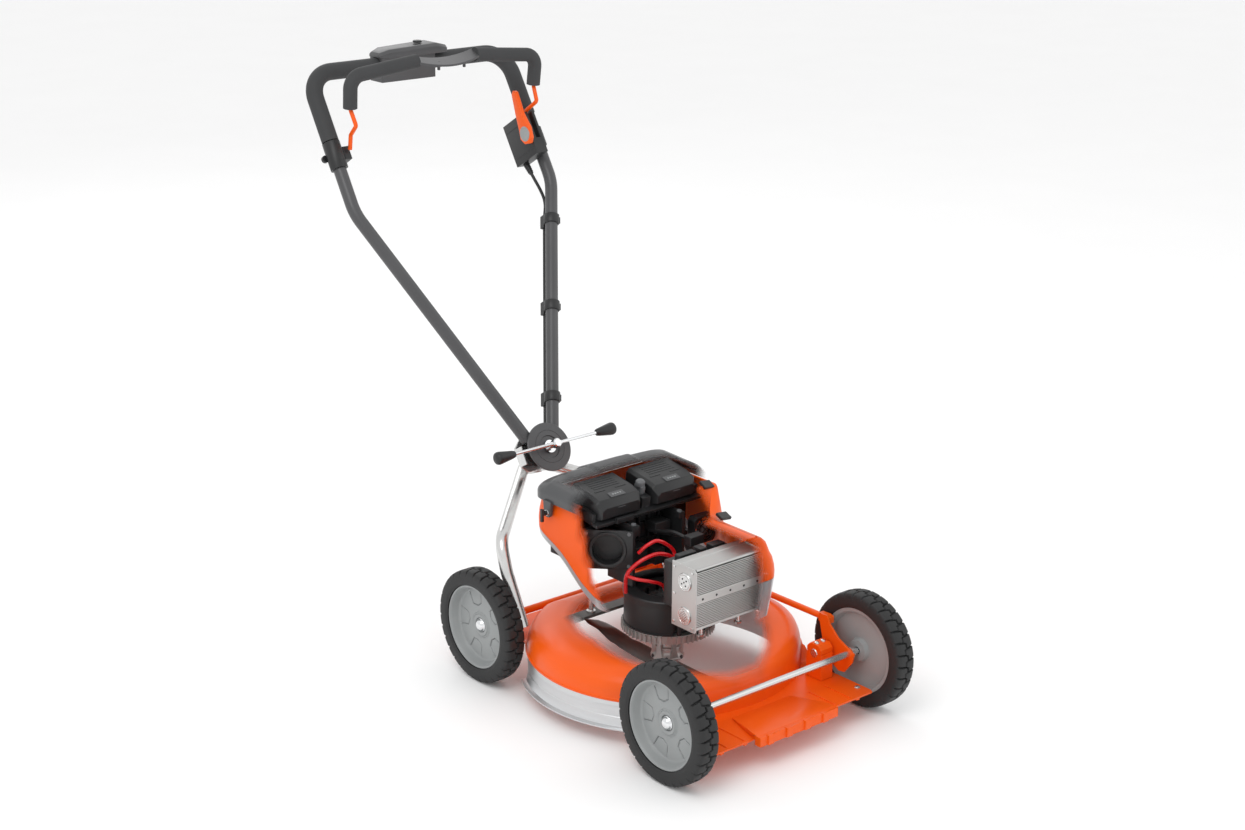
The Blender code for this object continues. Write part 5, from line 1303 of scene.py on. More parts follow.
        for x, y, sx, sy in ((0.040, -0.098, 0.030, 0.018), (-0.034, -0.100, 0.040, 0.014),
                             (0.004, -0.096, 0.016, 0.020)):
            tops.append(centred_block((sx, sy, 0.010), Matrix.Translation((x, DECK_Y + y, 0.3005))))
        shop.piece("controller_plugs", together(*tops), "black_plastic", "chassis", bevel=0.0016)
        fan = axes((0.114, DECK_Y + 0.014, 0.279), (1, 0, 0), (0, -1, 0))
        shop.piece("fan_boss",
                   revolved([(0.0, 0.0), (0.0088, 0.0), (0.0088, 0.0020), (0.0070, 0.0030), (0.0, 0.0032)],
                            fan, 32), "grey_plastic", "fan")
        guard = [revolved([(r - 0.0009, 0.0034), (r + 0.0009, 0.0034), (r + 0.0009, 0.0046),
                           (r - 0.0009, 0.0046)], fan, 48, True)
                 for r in (0.0140, 0.0190)]
        for angle in (45.0, 135.0):
            spoke = fan @ Matrix.Rotation(math.radians(angle), 4, "Z") @ Matrix.Translation((0, 0, 0.0040))
            guard.append(centred_block((0.0460, 0.0016, 0.0012), spoke))
        shop.piece("fan_guard", together(*guard), "black_plastic", "chassis")
        duct = axes((-0.096, DECK_Y + 0.041, 0.282), (1, -1, 0), (-1, -1, 0))
        lip = [(0.0290, 0.0), (0.0345, 0.0), (0.0350, 0.0012), (0.0340, 0.0026), (0.0310, 0.0028),
               (0.0290, 0.0018)]
        shop.piece("duct_lip", revolved(lip, duct, 64, True), "black_plastic", "chassis")
        bottom = revolved([(0.0, -0.0225), (0.0300, -0.0225), (0.0300, -0.0205), (0.0, -0.0195)], duct, 48)
        shop.piece("duct_bottom", bottom, "black_plastic", "chassis")
        screw = [(0.0, 0.0), (0.0036, 0.0), (0.0032, 0.0016), (0.0, 0.0018)]
        screws = []
        for sx in (-1, 1):
            for sy in (-1, 1):
                place = duct @ Matrix.Translation((sx * 0.039, sy * 0.031, 0.0))
                screws.append(revolved(screw, place, 18))
        shop.piece("duct_screws", together(*screws), "grey_plastic", "chassis")
        shop.soften("cooling_fan", "grey_plastic", 0.0002)
        shop.soften("safety_key", "grey_plastic", 0.0007)

    def leads(self, shop: Workshop) -> None:
        """The red and black supply leads, smooth along their own routes."""
        routes = (([(-0.004, -0.040, 0.262), (-0.006, -0.034, 0.284), (-0.036, -0.030, 0.306),
                    (-0.056, -0.022, 0.300), (-0.062, -0.006, 0.282)], 0.0034),
                  ([(-0.004, -0.040, 0.262), (-0.018, -0.040, 0.276), (-0.040, -0.036, 0.284),
                    (-0.062, -0.030, 0.281), (-0.082, -0.020, 0.268), (-0.092, -0.008, 0.246),
                    (-0.084, 0.004, 0.208)], 0.0037),
                  ([(-0.092, -0.008, 0.246), (-0.084, -0.030, 0.244), (-0.062, -0.044, 0.238),
                    (-0.040, -0.048, 0.226), (-0.030, -0.050, 0.198)], 0.0032))
        red = [swept(smooth_path([(x, y + DECK_Y, z) for x, y, z in route]), r, 20, across=(0.3, 0.9, 0.2))
               for route, r in routes]
        shop.piece("red_leads_smooth", together(*red), "red_insulation", "chassis", ("red_leads",),
                   angle=60.0)
        black_routes = ([(0.028, -0.047, 0.296), (0.020, -0.008, 0.302), (0.016, 0.020, 0.296),
                         (0.014, 0.050, 0.290)],
                        [(0.034, -0.047, 0.292), (0.034, -0.008, 0.292), (0.032, 0.020, 0.288),
                         (0.030, 0.050, 0.282)])
        black = [swept(smooth_path([(x, y + DECK_Y, z) for x, y, z in route]), 0.0034, 20, across=(1, 0, 0))
                 for route in black_routes]
        plug = centred_block((0.034, 0.020, 0.018), Matrix.Translation((0.030, DECK_Y - 0.052, 0.300)))
        shop.piece("black_leads_smooth", together(*black), "black_plastic", "chassis", ("black_leads",),
                   angle=60.0)
        shop.piece("lead_plug", plug, "black_plastic", "chassis", bevel=0.0022)

    def build(self, shop: Workshop) -> None:
        """Make the whole power unit."""
        self.heat_sink(shop)
        self.batteries(shop)
        self.housing(shop)
        self.leads(shop)


# ---------------------------------------------------------------- hood and lid


@dataclass
class Hood:
    """The orange hood with its silver lower band and vents, faded out over the drive."""

    wall: float = 0.0025
    half_width: float = 0.150
    nose_half: float = 0.110
    rear_y: float = 0.198
    nose_y: float = -0.199
    seam_z: float = 0.362
    columns: int = 240

    def outline(self) -> tuple[np.ndarray, np.ndarray]:
        """Points round the hood seen from above, and their outward normals.

        Half of it is a line with rounded corners from the rear to the nose, evenly divided,
        and the other half is its mirror image.
        """
        corners = [(0, self.rear_y, 0), (-self.half_width, self.rear_y, 0), (-self.half_width, 0.004, 0),
                   (-self.nose_half, -0.062, 0), (-self.nose_half, self.nose_y, 0), (0, self.nose_y, 0)]
        half = rounded_path(corners, (0.040, 0.034, 0.034, 0.034))
        left = path_part(half, 0.0, float(path_lengths(half)[-1]), self.columns // 2 + 1)[:, :2]
        right = left[-2:0:-1] * np.array([-1.0, 1.0])
        line = np.concatenate([left, right])
        normal = (np.roll(line, -1, axis=0) - np.roll(line, 1, axis=0))[:, ::-1] * np.array([-1.0, 1.0])
        return line, normal / np.linalg.norm(normal, axis=1, keepdims=True)

    def rows(self) -> np.ndarray:
        """The hood's outside as rings from the lower edge, over the seam and the sides, to the rim.

        Each ring is the outline moved inwards by an inset, at a height that changes along Y.
        """
        line, normal = self.outline()
        y = line[:, 1]
        bottom = np.interp(y, [-0.19, -0.04, 0.0, 0.048, 0.107, 0.200],
                           [0.180, 0.182, 0.190, 0.212, 0.258, 0.300])
        soften = np.exp(-np.linspace(-2, 2, 13) ** 2)
        soften /= soften.sum()
        bottom = np.convolve(np.concatenate([bottom[-6:], bottom, bottom[:6]]), soften, mode="valid")
        seam = bottom + np.interp(y, [-0.19, -0.10, 0.0, 0.20], [0.074, 0.050, 0.018, 0.009])
        edge = 0.300 + (self.seam_z - 0.300) * smoothstep(-0.062, 0.014, y)
        crown = 0.327 + (0.366 - 0.327) * smoothstep(-0.058, 0.014, y)
        bay = smoothstep(-0.060, 0.020, y)
        levels = ((bottom, 0.14 * (seam - bottom)), (0.5 * bottom + 0.5 * seam, 0.06 * (seam - bottom)),
                  (seam - 0.0006, 0.0), (seam + 0.0006, 0.0), (seam * 0.75 + edge * 0.25, -0.0004),
                  (seam * 0.5 + edge * 0.5, 0.001), (seam * 0.2 + edge * 0.8, 0.0048), (edge, 0.010),
                  (edge * 0.7 + crown * 0.3, 0.013 - 0.003 * bay),
                  (edge * 0.35 + crown * 0.65, 0.017 - 0.004 * bay),
                  (edge * 0.1 + crown * 0.9, 0.024 - 0.009 * bay), (crown, 0.036 - 0.018 * bay))
        rings = []
        for height, inset in levels:
            plan = line + normal * np.reshape(inset, (-1, 1))
            rings.append(np.column_stack([plan, height]))
        return np.array(rings) + np.array([0.0, DECK_Y, 0.0])

    @staticmethod
    def shown(points: np.ndarray) -> np.ndarray:
        """How much of the hood shows; it fades across a slanting line into the open front.

        The line is y = 0.45 (z - 0.19) - 0.01 from the right up to x = 0.046. From there it fades
        in to the left, and all of the hood shows beyond x = 0.094.
        """
        x, y, z = points[:, 0], points[:, 1] - DECK_Y, points[:, 2]
        behind = y - (0.45 * (z - 0.190) - 0.010)
        back = smoothstep(-0.004, 0.016, behind)
        side = smoothstep(0.046, 0.094, x)
        return np.maximum(back, side)

    def build(self, shop: Workshop) -> None:
        """Make the hood, the band and the vents."""
        rows = self.rows()
        inner = offset_grid(rows, self.wall, wrap=True)
        self.cut(shop, "hood_shell", rows[3:], inner[3:], "orange_plastic", "hood")
        self.cut(shop, "hood_band", rows[:3], inner[:3], "trim_silver", "hood_trim")
        self.nose_top(shop, rows[-1])
        vents = []
        for x, y, z, turn in ((0.118, 0.0125, 0.3655, 0.50), (0.096, -0.058, 0.3300, 0.38)):
            at = Matrix.Translation((x, DECK_Y + y, z))
            at = at @ Matrix.Rotation(turn, 4, "X") @ Matrix.Rotation(0.16, 4, "Y")
            vents.append(centred_block((0.026, 0.018, 0.0060), at))
        shop.piece("hood_vents", together(*vents), "black_plastic", "chassis", bevel=0.0014)

    def nose_top(self, shop: Workshop, rim: np.ndarray) -> None:
        """The top of the nose on the left: straight lines from the hood's rim to the middle.

        A point is (1 - t) rim + t (inner_x, rim y, rim z), with t from 0 to 1.
        """
        inner_x = 0.028
        y = rim[:, 1] - DECK_Y
        edge = rim[(rim[:, 0] > inner_x + 0.002) & (y < 0.012)]
        edge = edge[np.argsort(edge[:, 1])]
        t = np.linspace(0.0, 1.0, 40)[:, None, None]
        middle = np.stack([np.full(len(edge), inner_x), edge[:, 1], edge[:, 2]], axis=-1)
        top = (1.0 - t) * edge[None] + t * middle[None]
        top[..., 2] += 0.0022 * np.sin(np.clip(t[..., 0], 0.0, 1.0) * math.pi / 2.0)
        under = top - np.array([0.0, 0.0, self.wall])
        made = lofted(np.concatenate([top, under[:, ::-1]], axis=1))
        shop.piece("hood_nose_top", made, "orange_plastic", "chassis", shown=self.top_shown, angle=40.0)

    @staticmethod
    def top_shown(points: np.ndarray) -> np.ndarray:
        """How much of the nose's top shows: it fades towards the middle and the battery bay."""
        x, y = points[:, 0], points[:, 1] - DECK_Y
        start = 0.036 + 0.048 * smoothstep(-0.070, -0.020, y)
        return smoothstep(0.0, 0.040, x - start)

    def cut(self, shop: Workshop, name: str, outer: np.ndarray, inner: np.ndarray, slot: str,
            node: str) -> None:
        """A wall between two rings of grids, without the stretch round the ring that is cut away."""
        middle = outer.mean(axis=0)
        seen = self.shown(outer.reshape(-1, 3)).reshape(outer.shape[:2]).max(axis=0) > 0.0
        first = int(np.argmax(seen & ~np.roll(seen, 1))) if not seen.all() else 0
        order = np.roll(np.arange(len(middle)), -first)
        kept = order[seen[order]]
        wall = np.concatenate([outer[:, kept], inner[::-1, kept]])
        made = lofted(wall.transpose(1, 0, 2))
        shop.piece(name, made, slot, "chassis", (node,), shown=self.shown, angle=44.0)


@dataclass
class Lid:
    """The grey lid over the batteries and its turning latch."""

    half_width: float = 0.153
    rear_y: float = 0.2015
    front_y: float = 0.040
    seam_z: float = 0.3623
    wall: float = 0.0026

    def height(self, x: np.ndarray, y: np.ndarray, half: np.ndarray) -> np.ndarray:
        """Height above the seam: a flat crown across times a slope along, with a raised middle.

        The crown is sqrt(1 - |x / half|^6).
        """
        across = np.clip(1.0 - np.abs(x / half) ** 6, 0.0, 1.0) ** 0.5
        along = np.interp(y, [self.front_y, 0.052, 0.066, 0.152, 0.184, 0.196],
                          [0.004, 0.020, 0.0285, 0.0320, 0.0180, 0.006])
        step = 1.0 - smoothstep(0.045, 0.053, np.abs(x))
        return along * across + 0.004 * step * smoothstep(0.055, 0.075, y) * across

    def grid(self) -> np.ndarray:
        """The lid's outside as (place from rear to front, place across, xyz), with its skirt."""
        y = self.rear_y - (self.rear_y - self.front_y) * np.linspace(0.0, 1.0, 70) ** 1.15
        u = np.sin(np.linspace(-1.0, 1.0, 121) * math.pi / 2.0)
        half = self.half_width - 0.030 * np.maximum(0.0, (y - 0.160) / 0.040) ** 2.2
        x = u[None] * half[:, None]
        yy = np.repeat(y[:, None], len(u), axis=1)
        z = self.seam_z + 0.006 + self.height(x, yy, half[:, None])
        top = np.stack([x, yy, z], axis=-1)
        skirt_left, skirt_right = top[:, :1].copy(), top[:, -1:].copy()
        for skirt in (skirt_left, skirt_right):
            skirt[..., 2] = self.seam_z - 0.0040
        whole = np.concatenate([skirt_left, top, skirt_right], axis=1)
        rear = whole[:1].copy()
        rear[..., 2] = self.seam_z - 0.0040
        return np.concatenate([rear, whole]) + np.array([0.0, DECK_Y, 0.0])

    @staticmethod
    def shown(points: np.ndarray) -> np.ndarray:
        """How much of the lid shows: it fades out over the batteries, and stays at the edges."""
        x, y = points[:, 0], points[:, 1] - DECK_Y
        back = 0.86 * smoothstep(0.100, 0.150, y) + 0.14 * smoothstep(0.150, 0.185, y)
        ends = smoothstep(0.046, 0.092, y)
        left = smoothstep(0.108, 0.134, x) * ends
        right = smoothstep(-0.116, -0.140, x) * ends
        return np.maximum(np.maximum(back, left), right)

    def build(self, shop: Workshop) -> None:
        """Make the lid, its latch tab and the latch."""
        outer = self.grid()
        inner = outer.copy()
        inner[..., 2] -= self.wall
        inner[:, :2, 0] += 0.0024
        inner[:, -2:, 0] -= 0.0024
        inner[:2, :, 1] -= 0.0024
        inner[:, [0, -1], 2] += self.wall
        inner[0, :, 2] += self.wall
        walls = self.kept_walls(outer, inner)
        shop.piece("lid_shell", walls, "lid_plastic", "lid_body", ("lid",), shown=self.shown, angle=40.0)
        outline = [(0.128, 0.3620), (0.150, 0.3620), (0.1485, 0.340), (0.146, 0.334), (0.142, 0.331),
                   (0.134, 0.331), (0.131, 0.334), (0.130, 0.340)]
        x = -self.half_width - 0.0005
        tab = extruded([(y + DECK_Y, z) for y, z in outline], x - 0.004, x + 0.003, ALONG_X)
        shop.piece("lid_tab", tab, "lid_plastic", "lid_body", bevel=0.0010)
        at = axes((x - 0.0043, DECK_Y + 0.139, 0.3395), (0, 0, 1), (-1, 0, 0))
        washer = revolved([(0.0, 0.0), (0.0058, 0.0), (0.0054, 0.0012), (0.0, 0.0014)], at, 32)
        shop.piece("latch_washer", washer, "zinc_plate", "latch")
        shop.soften("lid_latch", "black_plastic", 0.0008)

    def kept_walls(self, outer: np.ndarray, inner: np.ndarray) -> Shape:
        """The lid's wall as three overlapping strips: the rear part and the two side margins."""
        rows = outer[:, 0, 1] - DECK_Y
        split = int(np.argmax(rows < 0.098))
        columns = outer[split, :, 0]
        left_start = int(np.argmax(columns > 0.108))
        right_end = int(len(columns) - np.argmax(columns[::-1] < -0.112))
        strips = []
        for piece_rows, piece_columns in ((slice(0, split), slice(None)),
                                          (slice(split - 1, None), slice(left_start, None)),
                                          (slice(split - 1, None), slice(0, right_end))):
            top, under = outer[piece_rows, piece_columns], inner[piece_rows, piece_columns]
            strips.append(lofted(np.concatenate([top, under[:, ::-1]], axis=1)))
        return together(*strips)


# ---------------------------------------------------------------- frame, clamp and handle


@dataclass
class Handle:
    """The lower frame, the friction clamp and the handle with its controls."""

    tube_radius: float = 0.0125
    tube_wall: float = 0.0018
    grip_radius: float = 0.0163
    foot: tuple[float, float, float] = (0.0306, DECK_Y + 0.3587, 0.3907)
    kink: tuple[float, float, float] = (0.2354, DECK_Y + 0.6177, 0.8169)
    top: tuple[float, float, float] = (0.234, DECK_Y + 0.7671, 1.0597)
    clamp_axis: tuple[float, float, float] = (0.0, -0.854, 0.520)
    tilt_pivot: tuple[float, float, float] = (0.0, DECK_Y + 0.3780, 0.3270)
    clip_places: tuple[float, ...] = (0.076, 0.267, 0.454)

    def path(self) -> np.ndarray:
        """The handle's centre line from the left foot over the top to the right foot."""
        corners = [self.foot, self.kink, self.top]
        points = corners + [(-x, y, z) for x, y, z in reversed(corners)]
        return rounded_path(points, (0.10, 0.052, 0.052, 0.10), steps=20)

    def tube_place(self, distance: float, side: int) -> Matrix:
        """A matrix on the tube at a distance from its foot: Z along the tube, X outwards."""
        path = self.path() if side > 0 else self.path()[::-1]
        point, ahead = path_part(path, distance, distance + 0.002)
        return axes(point, (side, 0, 0), ahead - point)

    def clamp(self) -> Matrix:
        """Z is the clamp screw's axis, pointing forwards; X is across."""
        return axes((0.0, DECK_Y + 0.3327, 0.3780), (1, 0, 0), self.clamp_axis)

    def build(self, shop: Workshop) -> None:
        """Make everything from the frame tubes to the switch panel."""
        self.frame(shop)
        self.clamp_parts(shop)
        self.tubes(shop)
        self.controls(shop)
        self.bail(shop)

    def frame(self, shop: Workshop) -> None:
        """The two bent lower tubes with their cross pin and bolts."""
        path = rounded_path([(-0.1995, DECK_Y + 0.156, 0.119), (-0.1995, DECK_Y + 0.205, 0.212),
                             (-0.197, DECK_Y + 0.226, 0.266),
                             (-0.0262, self.tilt_pivot[1], self.tilt_pivot[2])],
                            (0.10, 0.045), steps=24)
        tube = swept(path, 0.0118, 32, across=(0.5, -0.8, 0.25))
        pin = revolved([(0.0, -0.030), (0.0080, -0.030), (0.0080, 0.030), (0.0, 0.030)],
                       axes(self.tilt_pivot, (0, 1, 0), (1, 0, 0)), 28)
        nuts = [revolved([(0.0, 0.0), (0.0095, 0.0), (0.0095, 0.004), (0.0, 0.0045)], axes(
            (s * 0.0295, self.tilt_pivot[1], self.tilt_pivot[2]), (0, 1, 0), (s, 0, 0)), 6)
            for s in (-1, 1)]
        shop.piece("frame_bends", together(tube, tube.mirrored(), pin, *nuts), "zinc_plate", "chassis",
                   ("frame_tubes",), angle=40.0)
        shop.soften("clamp_yoke", "zinc_plate", 0.0008)

    def clamp_parts(self, shop: Workshop) -> None:
        """The friction disc, socket plate, clamp screw and the two tapered knobs."""
        at = self.clamp()
        disc = [(0.0058, 0.0), (0.0470, 0.0), (0.0480, 0.0008), (0.0480, 0.0044), (0.0472, 0.0052),
                (0.0330, 0.0052), (0.0326, 0.0046), (0.0318, 0.0046), (0.0314, 0.0052), (0.0225, 0.0052),
                (0.0215, 0.0030), (0.0120, 0.0030), (0.0110, 0.0060), (0.0058, 0.0060)]
        shop.piece("friction_disc_turned", revolved(disc, at, 96, True), "dark_grey_paint", "handle",
                   ("friction_disc",))
        shop.soften("handle_socket", "black_plastic", 0.0008)
        screw = [(0.0, -0.0285), (0.0055, -0.0285), (0.0055, 0.0060), (0.0125, 0.0062), (0.0125, 0.0078),
                 (0.0085, 0.0080), (0.0085, 0.0100), (0.0055, 0.0102), (0.0055, 0.0205), (0.0075, 0.0212),
                 (0.0088, 0.0222), (0.0094, 0.0275), (0.0088, 0.0330), (0.0070, 0.0350), (0.0, 0.0358)]
        parts = [revolved(screw, at, 40)]
        knobs = []
        for side in (-1, 1):
            arm = axes(at @ Vector((0, 0, 0.0275)), (0, 0, 1), (side, 0, 0))
            parts.append(revolved([(0.0, 0.005), (0.0048, 0.0052), (0.0040, 0.0120), (0.0032, 0.0150),
                                   (0.0032, 0.0985), (0.0, 0.0985)], arm, 24))
            knob = [(0.0, 0.0990), (0.0056, 0.0990), (0.0064, 0.0998), (0.0078, 0.1050), (0.0096, 0.1170),
                    (0.0112, 0.1270), (0.0122, 0.1335), (0.0124, 0.1375), (0.0114, 0.1412),
                    (0.0088, 0.1434), (0.0050, 0.1446), (0.0, 0.1449)]
            knobs.append(("left" if side > 0 else "right", revolved(knob, arm, 40)))
        shop.piece("clamp_screw_turned", together(*parts), "chrome", "clamp", ("clamp_screw",))
        for word, knob_shape in knobs:
            shop.piece("clamp_knob_" + word + "_moulded", knob_shape, "black_plastic", "clamp",
                       ("clamp_knob_" + word,), angle=45.0)

    def tubes(self, shop: Workshop) -> None:
        """The bent handle tube, its soft grip, the cable and its clips."""
        path = self.path()
        total = float(path_lengths(path)[-1])
        tube = swept(path, self.tube_radius, 36, self.tube_radius - self.tube_wall,
                     across=(0.0, 0.86, -0.52))
        shop.piece("handle_tube_bent", tube, "dark_grey_paint", "handle", ("handle_tube",), angle=50.0)
        grip_path = path_part(path, 0.685, total - 0.685, 160)
        grip = swept(grip_path, self.grip_radius, 36, self.tube_radius + 0.0003, across=(0.0, 0.86, -0.52))
        shop.piece("grip_sleeve", grip, "grip_foam", "handle", ("grip",), angle=50.0)
        clips = []
        for place in self.clip_places:
            at = self.tube_place(place, 1)
            band = [(0.0127, -0.0100), (0.0152, -0.0100), (0.0158, -0.0088), (0.0158, 0.0088),
                    (0.0152, 0.0100), (0.0127, 0.0100)]
            clips.append(revolved(band, at, 40, True))
            clips.append(block((-0.0105, 0.0130, -0.0135), (0.0035, 0.0262, 0.0135), at))
            clips.append(block((0.0125, -0.0060, -0.0070), (0.0176, 0.0060, 0.0070), at))
        shop.piece("cable_clips", together(*clips), "black_plastic", "handle", bevel=0.0009)
        box_place = self.tube_place(0.632, 1)
        points = [box_place @ Vector((-0.030, 0.020, -0.0440)), box_place @ Vector((-0.030, 0.014, -0.070))]
        for distance in (0.505, 0.454, 0.360, 0.267, 0.172, 0.076, 0.024):
            points.append(self.tube_place(distance, 1) @ Vector((-0.004, 0.0205, 0.0)))
        cable = swept(smooth_path([tuple(p) for p in points], 8), 0.0032, 18, across=(1.0, 0.1, -0.1))
        shop.piece("control_cable_laid", cable, "black_plastic", "handle", ("control_cable",), angle=60.0)
        relief = axes(points[0], (1, 0, 0), points[1] - points[0])
        rings = [revolved([(0.0, 0.0), (0.0062, 0.0), (0.0046, 0.0240), (0.0, 0.0240)], relief, 24)]
        rings += [revolved([(0.0, z), (0.0068 - 0.06 * z, z), (0.0068 - 0.06 * z, z + 0.0022),
                            (0.0, z + 0.0022)], relief, 24)
                  for z in (0.003, 0.008, 0.013, 0.018)]
        shop.piece("cable_relief", together(*rings), "black_plastic", "handle")

    def controls(self, shop: Workshop) -> None:
        """The bail's bracket, the switch box with its lever, and the top panel."""
        for node, slot, bevel in (("bail_bracket", "black_plastic", 0.0012),
                                  ("switch_box", "black_plastic", 0.0022),
                                  ("control_panel", "dark_grey_paint", 0.0020),
                                  ("power_button", "black_plastic", 0.0005)):
            shop.soften(node, slot, bevel)
        side = self.tube_place(0.656, -1)
        at = side @ Matrix.Translation((0.0162, -0.0085, 0.0)) @ Matrix.Rotation(math.pi / 2, 4, "X")
        knob = [(0.0, 0.0), (0.0070, 0.0), (0.0070, 0.0060), (0.0060, 0.0075), (0.0, 0.0080)]
        shop.piece("bracket_screw", revolved(knob, at, 28), "black_plastic", "handle")
        frame_place = self.tube_place(0.632, 1)
        lid_lines = [block((-0.0436, -0.040, z), (-0.0425, 0.032, z + 0.0012), frame_place)
                     for z in (-0.030, 0.026)]
        shop.piece("switch_box_ribs", together(*lid_lines), "black_plastic", "handle", bevel=0.0003)
        shop.soften("start_lever", "orange_plastic", 0.0016)
        hub = axes((0.1792, DECK_Y + 0.631, 0.917), (0, 1, 0), (-1, 0, 0))
        ring = [(0.0, -0.0006), (0.0150, -0.0006), (0.0150, 0.0006), (0.0138, 0.0012), (0.0128, 0.0006),
                (0.0, 0.0006)]
        shop.piece("start_lever_disc", revolved(ring, hub, 48), "rim_plastic", "starter")

    def bail(self, shop: Workshop) -> None:
        """The operator's bail: two bent rods, soft sleeves and the palm plate."""
        y0 = DECK_Y
        sleeves = []
        for name, side in (("right", -1), ("left", 1)):
            rod_path = rounded_path([(side * 0.2085, y0 + 0.668, 0.928), (side * 0.2085, y0 + 0.664, 0.956),
                                     (side * 0.214, y0 + 0.636, 0.978),
                                     (side * 0.2165, y0 + 0.6495, 1.0065)], (0.006, 0.006), steps=8)
            shop.piece("bail_rod_" + name + "_bent", swept(rod_path, 0.0040, 20, across=(1.0, 0.0, 0.0)),
                       "orange_plastic", "bail", ("bail_rod_" + name,), angle=60.0)
            sleeve = rounded_path([(side * 0.2165, y0 + 0.6505, 1.0096),
                                   (side * 0.2180, y0 + 0.6440, 1.0690),
                                   (side * 0.068, y0 + 0.6440, 1.0840)], (0.026,), steps=20)
            sleeves.append(swept(sleeve, 0.0135, 32, across=(0.0, 1.0, 0.11)))
        t = np.linspace(-1.0, 1.0, 41)
        x, scoop = 0.0705 * t, np.cos(t * math.pi / 2.0) ** 0.8
        z = 1.084 - 0.010 * scoop
        depth = 0.013 + 0.010 * scoop
        front, rear = y0 + 0.644 - depth, np.full_like(x, y0 + 0.657)
        loops = np.stack([np.stack([x, front, z - 0.004], -1), np.stack([x, rear, z + 0.006], -1),
                          np.stack([x, rear, z + 0.010], -1), np.stack([x, front, z], -1)], axis=1)
        pegs = [revolved([(0.0, 0.0), (0.0030, 0.0), (0.0030, 0.0175), (0.0, 0.0175)],
                         Matrix.Translation((px, y0 + 0.640, 1.0625)), 16)
                for px in (-0.020, 0.040)]
        shop.piece("bail_sleeves", together(*sleeves), "grip_foam", "bail", angle=60.0)
        shop.piece("bail_palm_plate", together(lofted(loops), *pegs), "dark_grey_paint", "bail",
                   ("bail_handle",), bevel=0.0010)


@dataclass
class HeightLinkage:
    """The hand lever by the rear wheel and the rod that joins both axles."""

    def build(self, shop: Workshop) -> None:
        """Make the lever and the link rod."""
        shop.soften("height_lever", "orange_paint", 0.0008)
        front_y, front_z = DECK_Y - 0.226, 0.154
        rear_y, rear_z = DECK_Y + 0.2956, 0.148
        slope = (rear_z - front_z) / (rear_y - front_y)
        path = rounded_path([(x, y, front_z + (y - front_y) * slope) for x, y in
                             ((0.2045, front_y + 0.016), (0.2045, DECK_Y + 0.045), (0.1745, DECK_Y + 0.120),
                              (0.1745, rear_y - 0.016))],
                            (0.030, 0.030), steps=14)
        bar = swept(path, 0.006, 24, across=(0.0, 0.0, 1.0))
        eyes = []
        for y, z, low, high, away in ((front_y, front_z, 0.1985, 0.2105, 1.0),
                                      (rear_y, rear_z, 0.1685, 0.1925, -1.0)):
            outline = [(y - away * 0.009, z - 0.006), (y - away * 0.009, z + 0.006), (y, z + 0.009),
                       (y + away * 0.019, z + 0.008), (y + away * 0.019, z - 0.008), (y, z - 0.009)]
            eyes.append(extruded(outline, low, high, ALONG_X))
        shop.piece("link_rod_bent", together(bar, *eyes), "orange_paint", "link", ("link_rod",),
                   bevel=0.0006)


# ---------------------------------------------------------------- studio


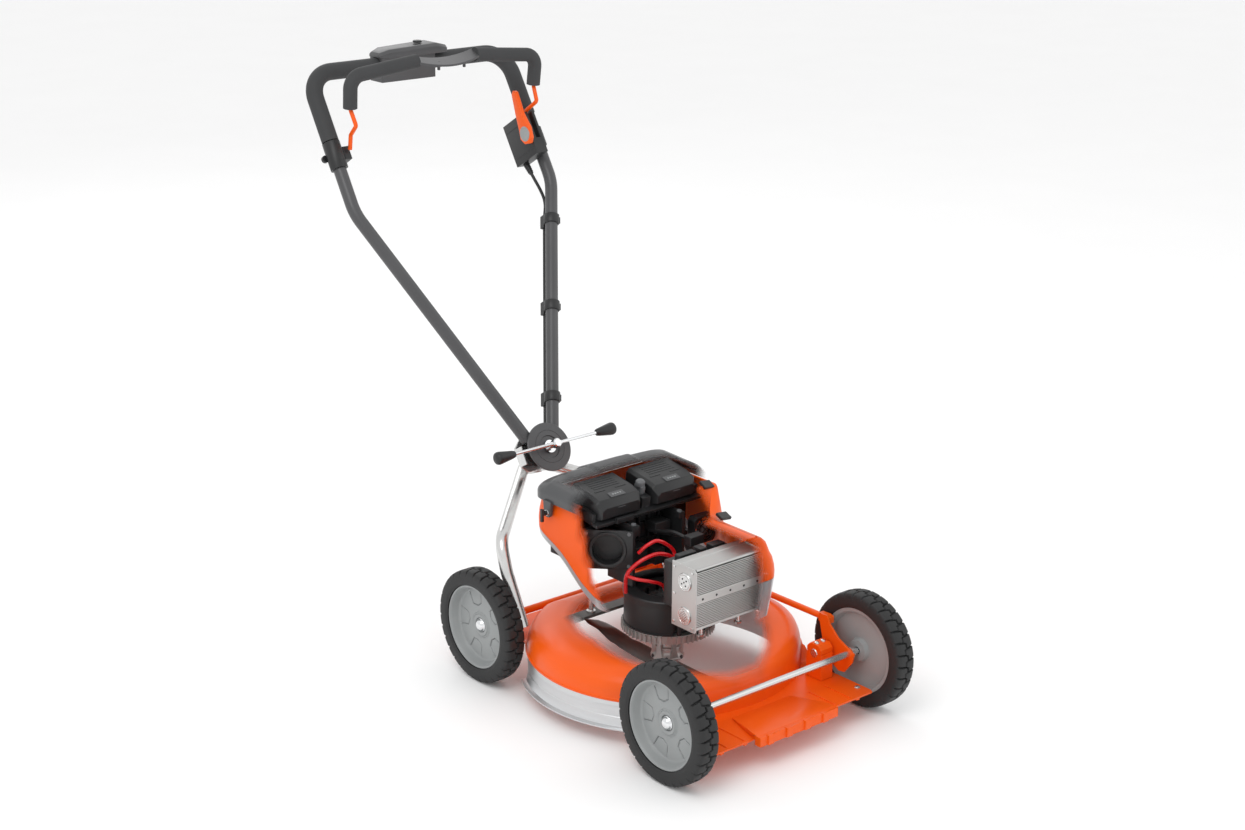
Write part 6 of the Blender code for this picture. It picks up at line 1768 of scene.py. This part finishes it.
@dataclass
class Studio:
    """The floor, the soft light and the camera."""

    floor_half: float = 14.0
    camera_place: tuple[float, float, float] = (-2.3981, -2.9039, 1.7262)
    azimuth: float = math.radians(-40.397)
    elevation: float = math.radians(18.348)
    roll: float = math.radians(0.404)
    focal: float = 61.85
    lamp_aim: tuple[float, float, float] = (0.0, 0.0, 0.35)
    sky_strength: float = 0.95

    def build(self) -> None:
        """Make the floor, the lights, the sky and the camera."""
        self.floor()
        self.lights()
        self.camera()

    def floor(self) -> None:
        """A plain pale floor with a faint unevenness."""
        h = self.floor_half
        mesh = bpy.data.meshes.new("floor")
        mesh.from_pydata([(-h, -h, 0), (h, -h, 0), (h, h, 0), (-h, h, 0)], [], [(0, 1, 2, 3)])
        plane = bpy.data.objects.new("floor", mesh)
        bpy.context.scene.collection.objects.link(plane)
        material = bpy.data.materials.new("studio_floor")
        material.use_nodes = True
        shader = material.node_tree.nodes["Principled BSDF"]
        w = Wiring(material.node_tree)
        place = w.node("ShaderNodeTexCoord", {}).outputs["Object"]
        noise = w.node("ShaderNodeTexNoise", {"Vector": place, "Scale": 3.0})
        colour = w.mix(noise.outputs[0], (0.960, 0.960, 0.960, 1.0), (0.985, 0.985, 0.985, 1.0))
        material.node_tree.links.new(colour, shader.inputs["Base Color"])
        shader.inputs["Roughness"].default_value = 0.7
        shader.inputs["Specular IOR Level"].default_value = 0.1
        mesh.materials.append(material)

    def lights(self) -> None:
        """Three large soft lamps and a white surround."""
        world = bpy.data.worlds.new("studio")
        bpy.context.scene.world = world
        world.use_nodes = True
        sky = world.node_tree.nodes["Background"]
        sky.inputs["Color"].default_value = (1.0, 1.0, 1.0, 1.0)
        sky.inputs["Strength"].default_value = self.sky_strength
        lamps = (("key", (-2.2, -1.2, 3.4), 2.2, 34.0), ("fill", (2.8, -2.2, 2.2), 2.8, 8.0),
                 ("rim", (1.0, 3.2, 2.8), 2.4, 16.0))
        for name, place, size, power in lamps:
            lamp = bpy.data.lights.new(name, "AREA")
            lamp.shape = "DISK"
            lamp.size = size
            lamp.energy = power
            made = bpy.data.objects.new(name, lamp)
            bpy.context.scene.collection.objects.link(made)
            made.location = place
            aim = Vector(self.lamp_aim) - Vector(place)
            made.rotation_euler = aim.to_track_quat("-Z", "Y").to_euler()

    def camera(self) -> None:
        """The camera, in front of the mower's right-hand side and a little above it."""
        a, e, r = self.azimuth, self.elevation, self.roll
        back = Vector((math.sin(a) * math.cos(e), -math.cos(a) * math.cos(e), math.sin(e)))
        level = Vector((math.cos(a), math.sin(a), 0.0))
        up = back.cross(level)
        right = level * math.cos(r) + up * math.sin(r)
        top = up * math.cos(r) - level * math.sin(r)
        matrix = Matrix((right, top, back)).transposed().to_4x4()
        matrix.translation = Vector(self.camera_place)
        lens = bpy.data.cameras.new("camera")
        lens.lens = self.focal
        lens.sensor_width = 36.0
        made = bpy.data.objects.new("camera", lens)
        bpy.context.scene.collection.objects.link(made)
        made.matrix_world = matrix
        bpy.context.scene.camera = made
        bpy.context.scene.view_settings.view_transform = "Standard"


def main() -> None:
    """Build the mower's looks round its frame, then the studio."""
    logging.basicConfig(level=logging.INFO, format="%(name)s %(message)s")
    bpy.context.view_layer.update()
    shop = Workshop(frame["nodes"])
    for end, y in (("front", FRONT_AXLE_Y), ("rear", REAR_AXLE_Y)):
        for side in (1, -1):
            RoadWheel(end, side, y).build(shop)
    AxleCarrier("front", FRONT_AXLE_Y, 0.0062, "zinc_plate").build(shop)
    AxleCarrier("rear", REAR_AXLE_Y, 0.0070, "orange_paint").build(shop)
    HeightLinkage().build(shop)
    Deck().build(shop)
    Motor().build(shop)
    PowerUnit().build(shop)
    Hood().build(shop)
    Lid().build(shop)
    Handle().build(shop)
    Studio().build()


if __name__ == "__main__":
    main()
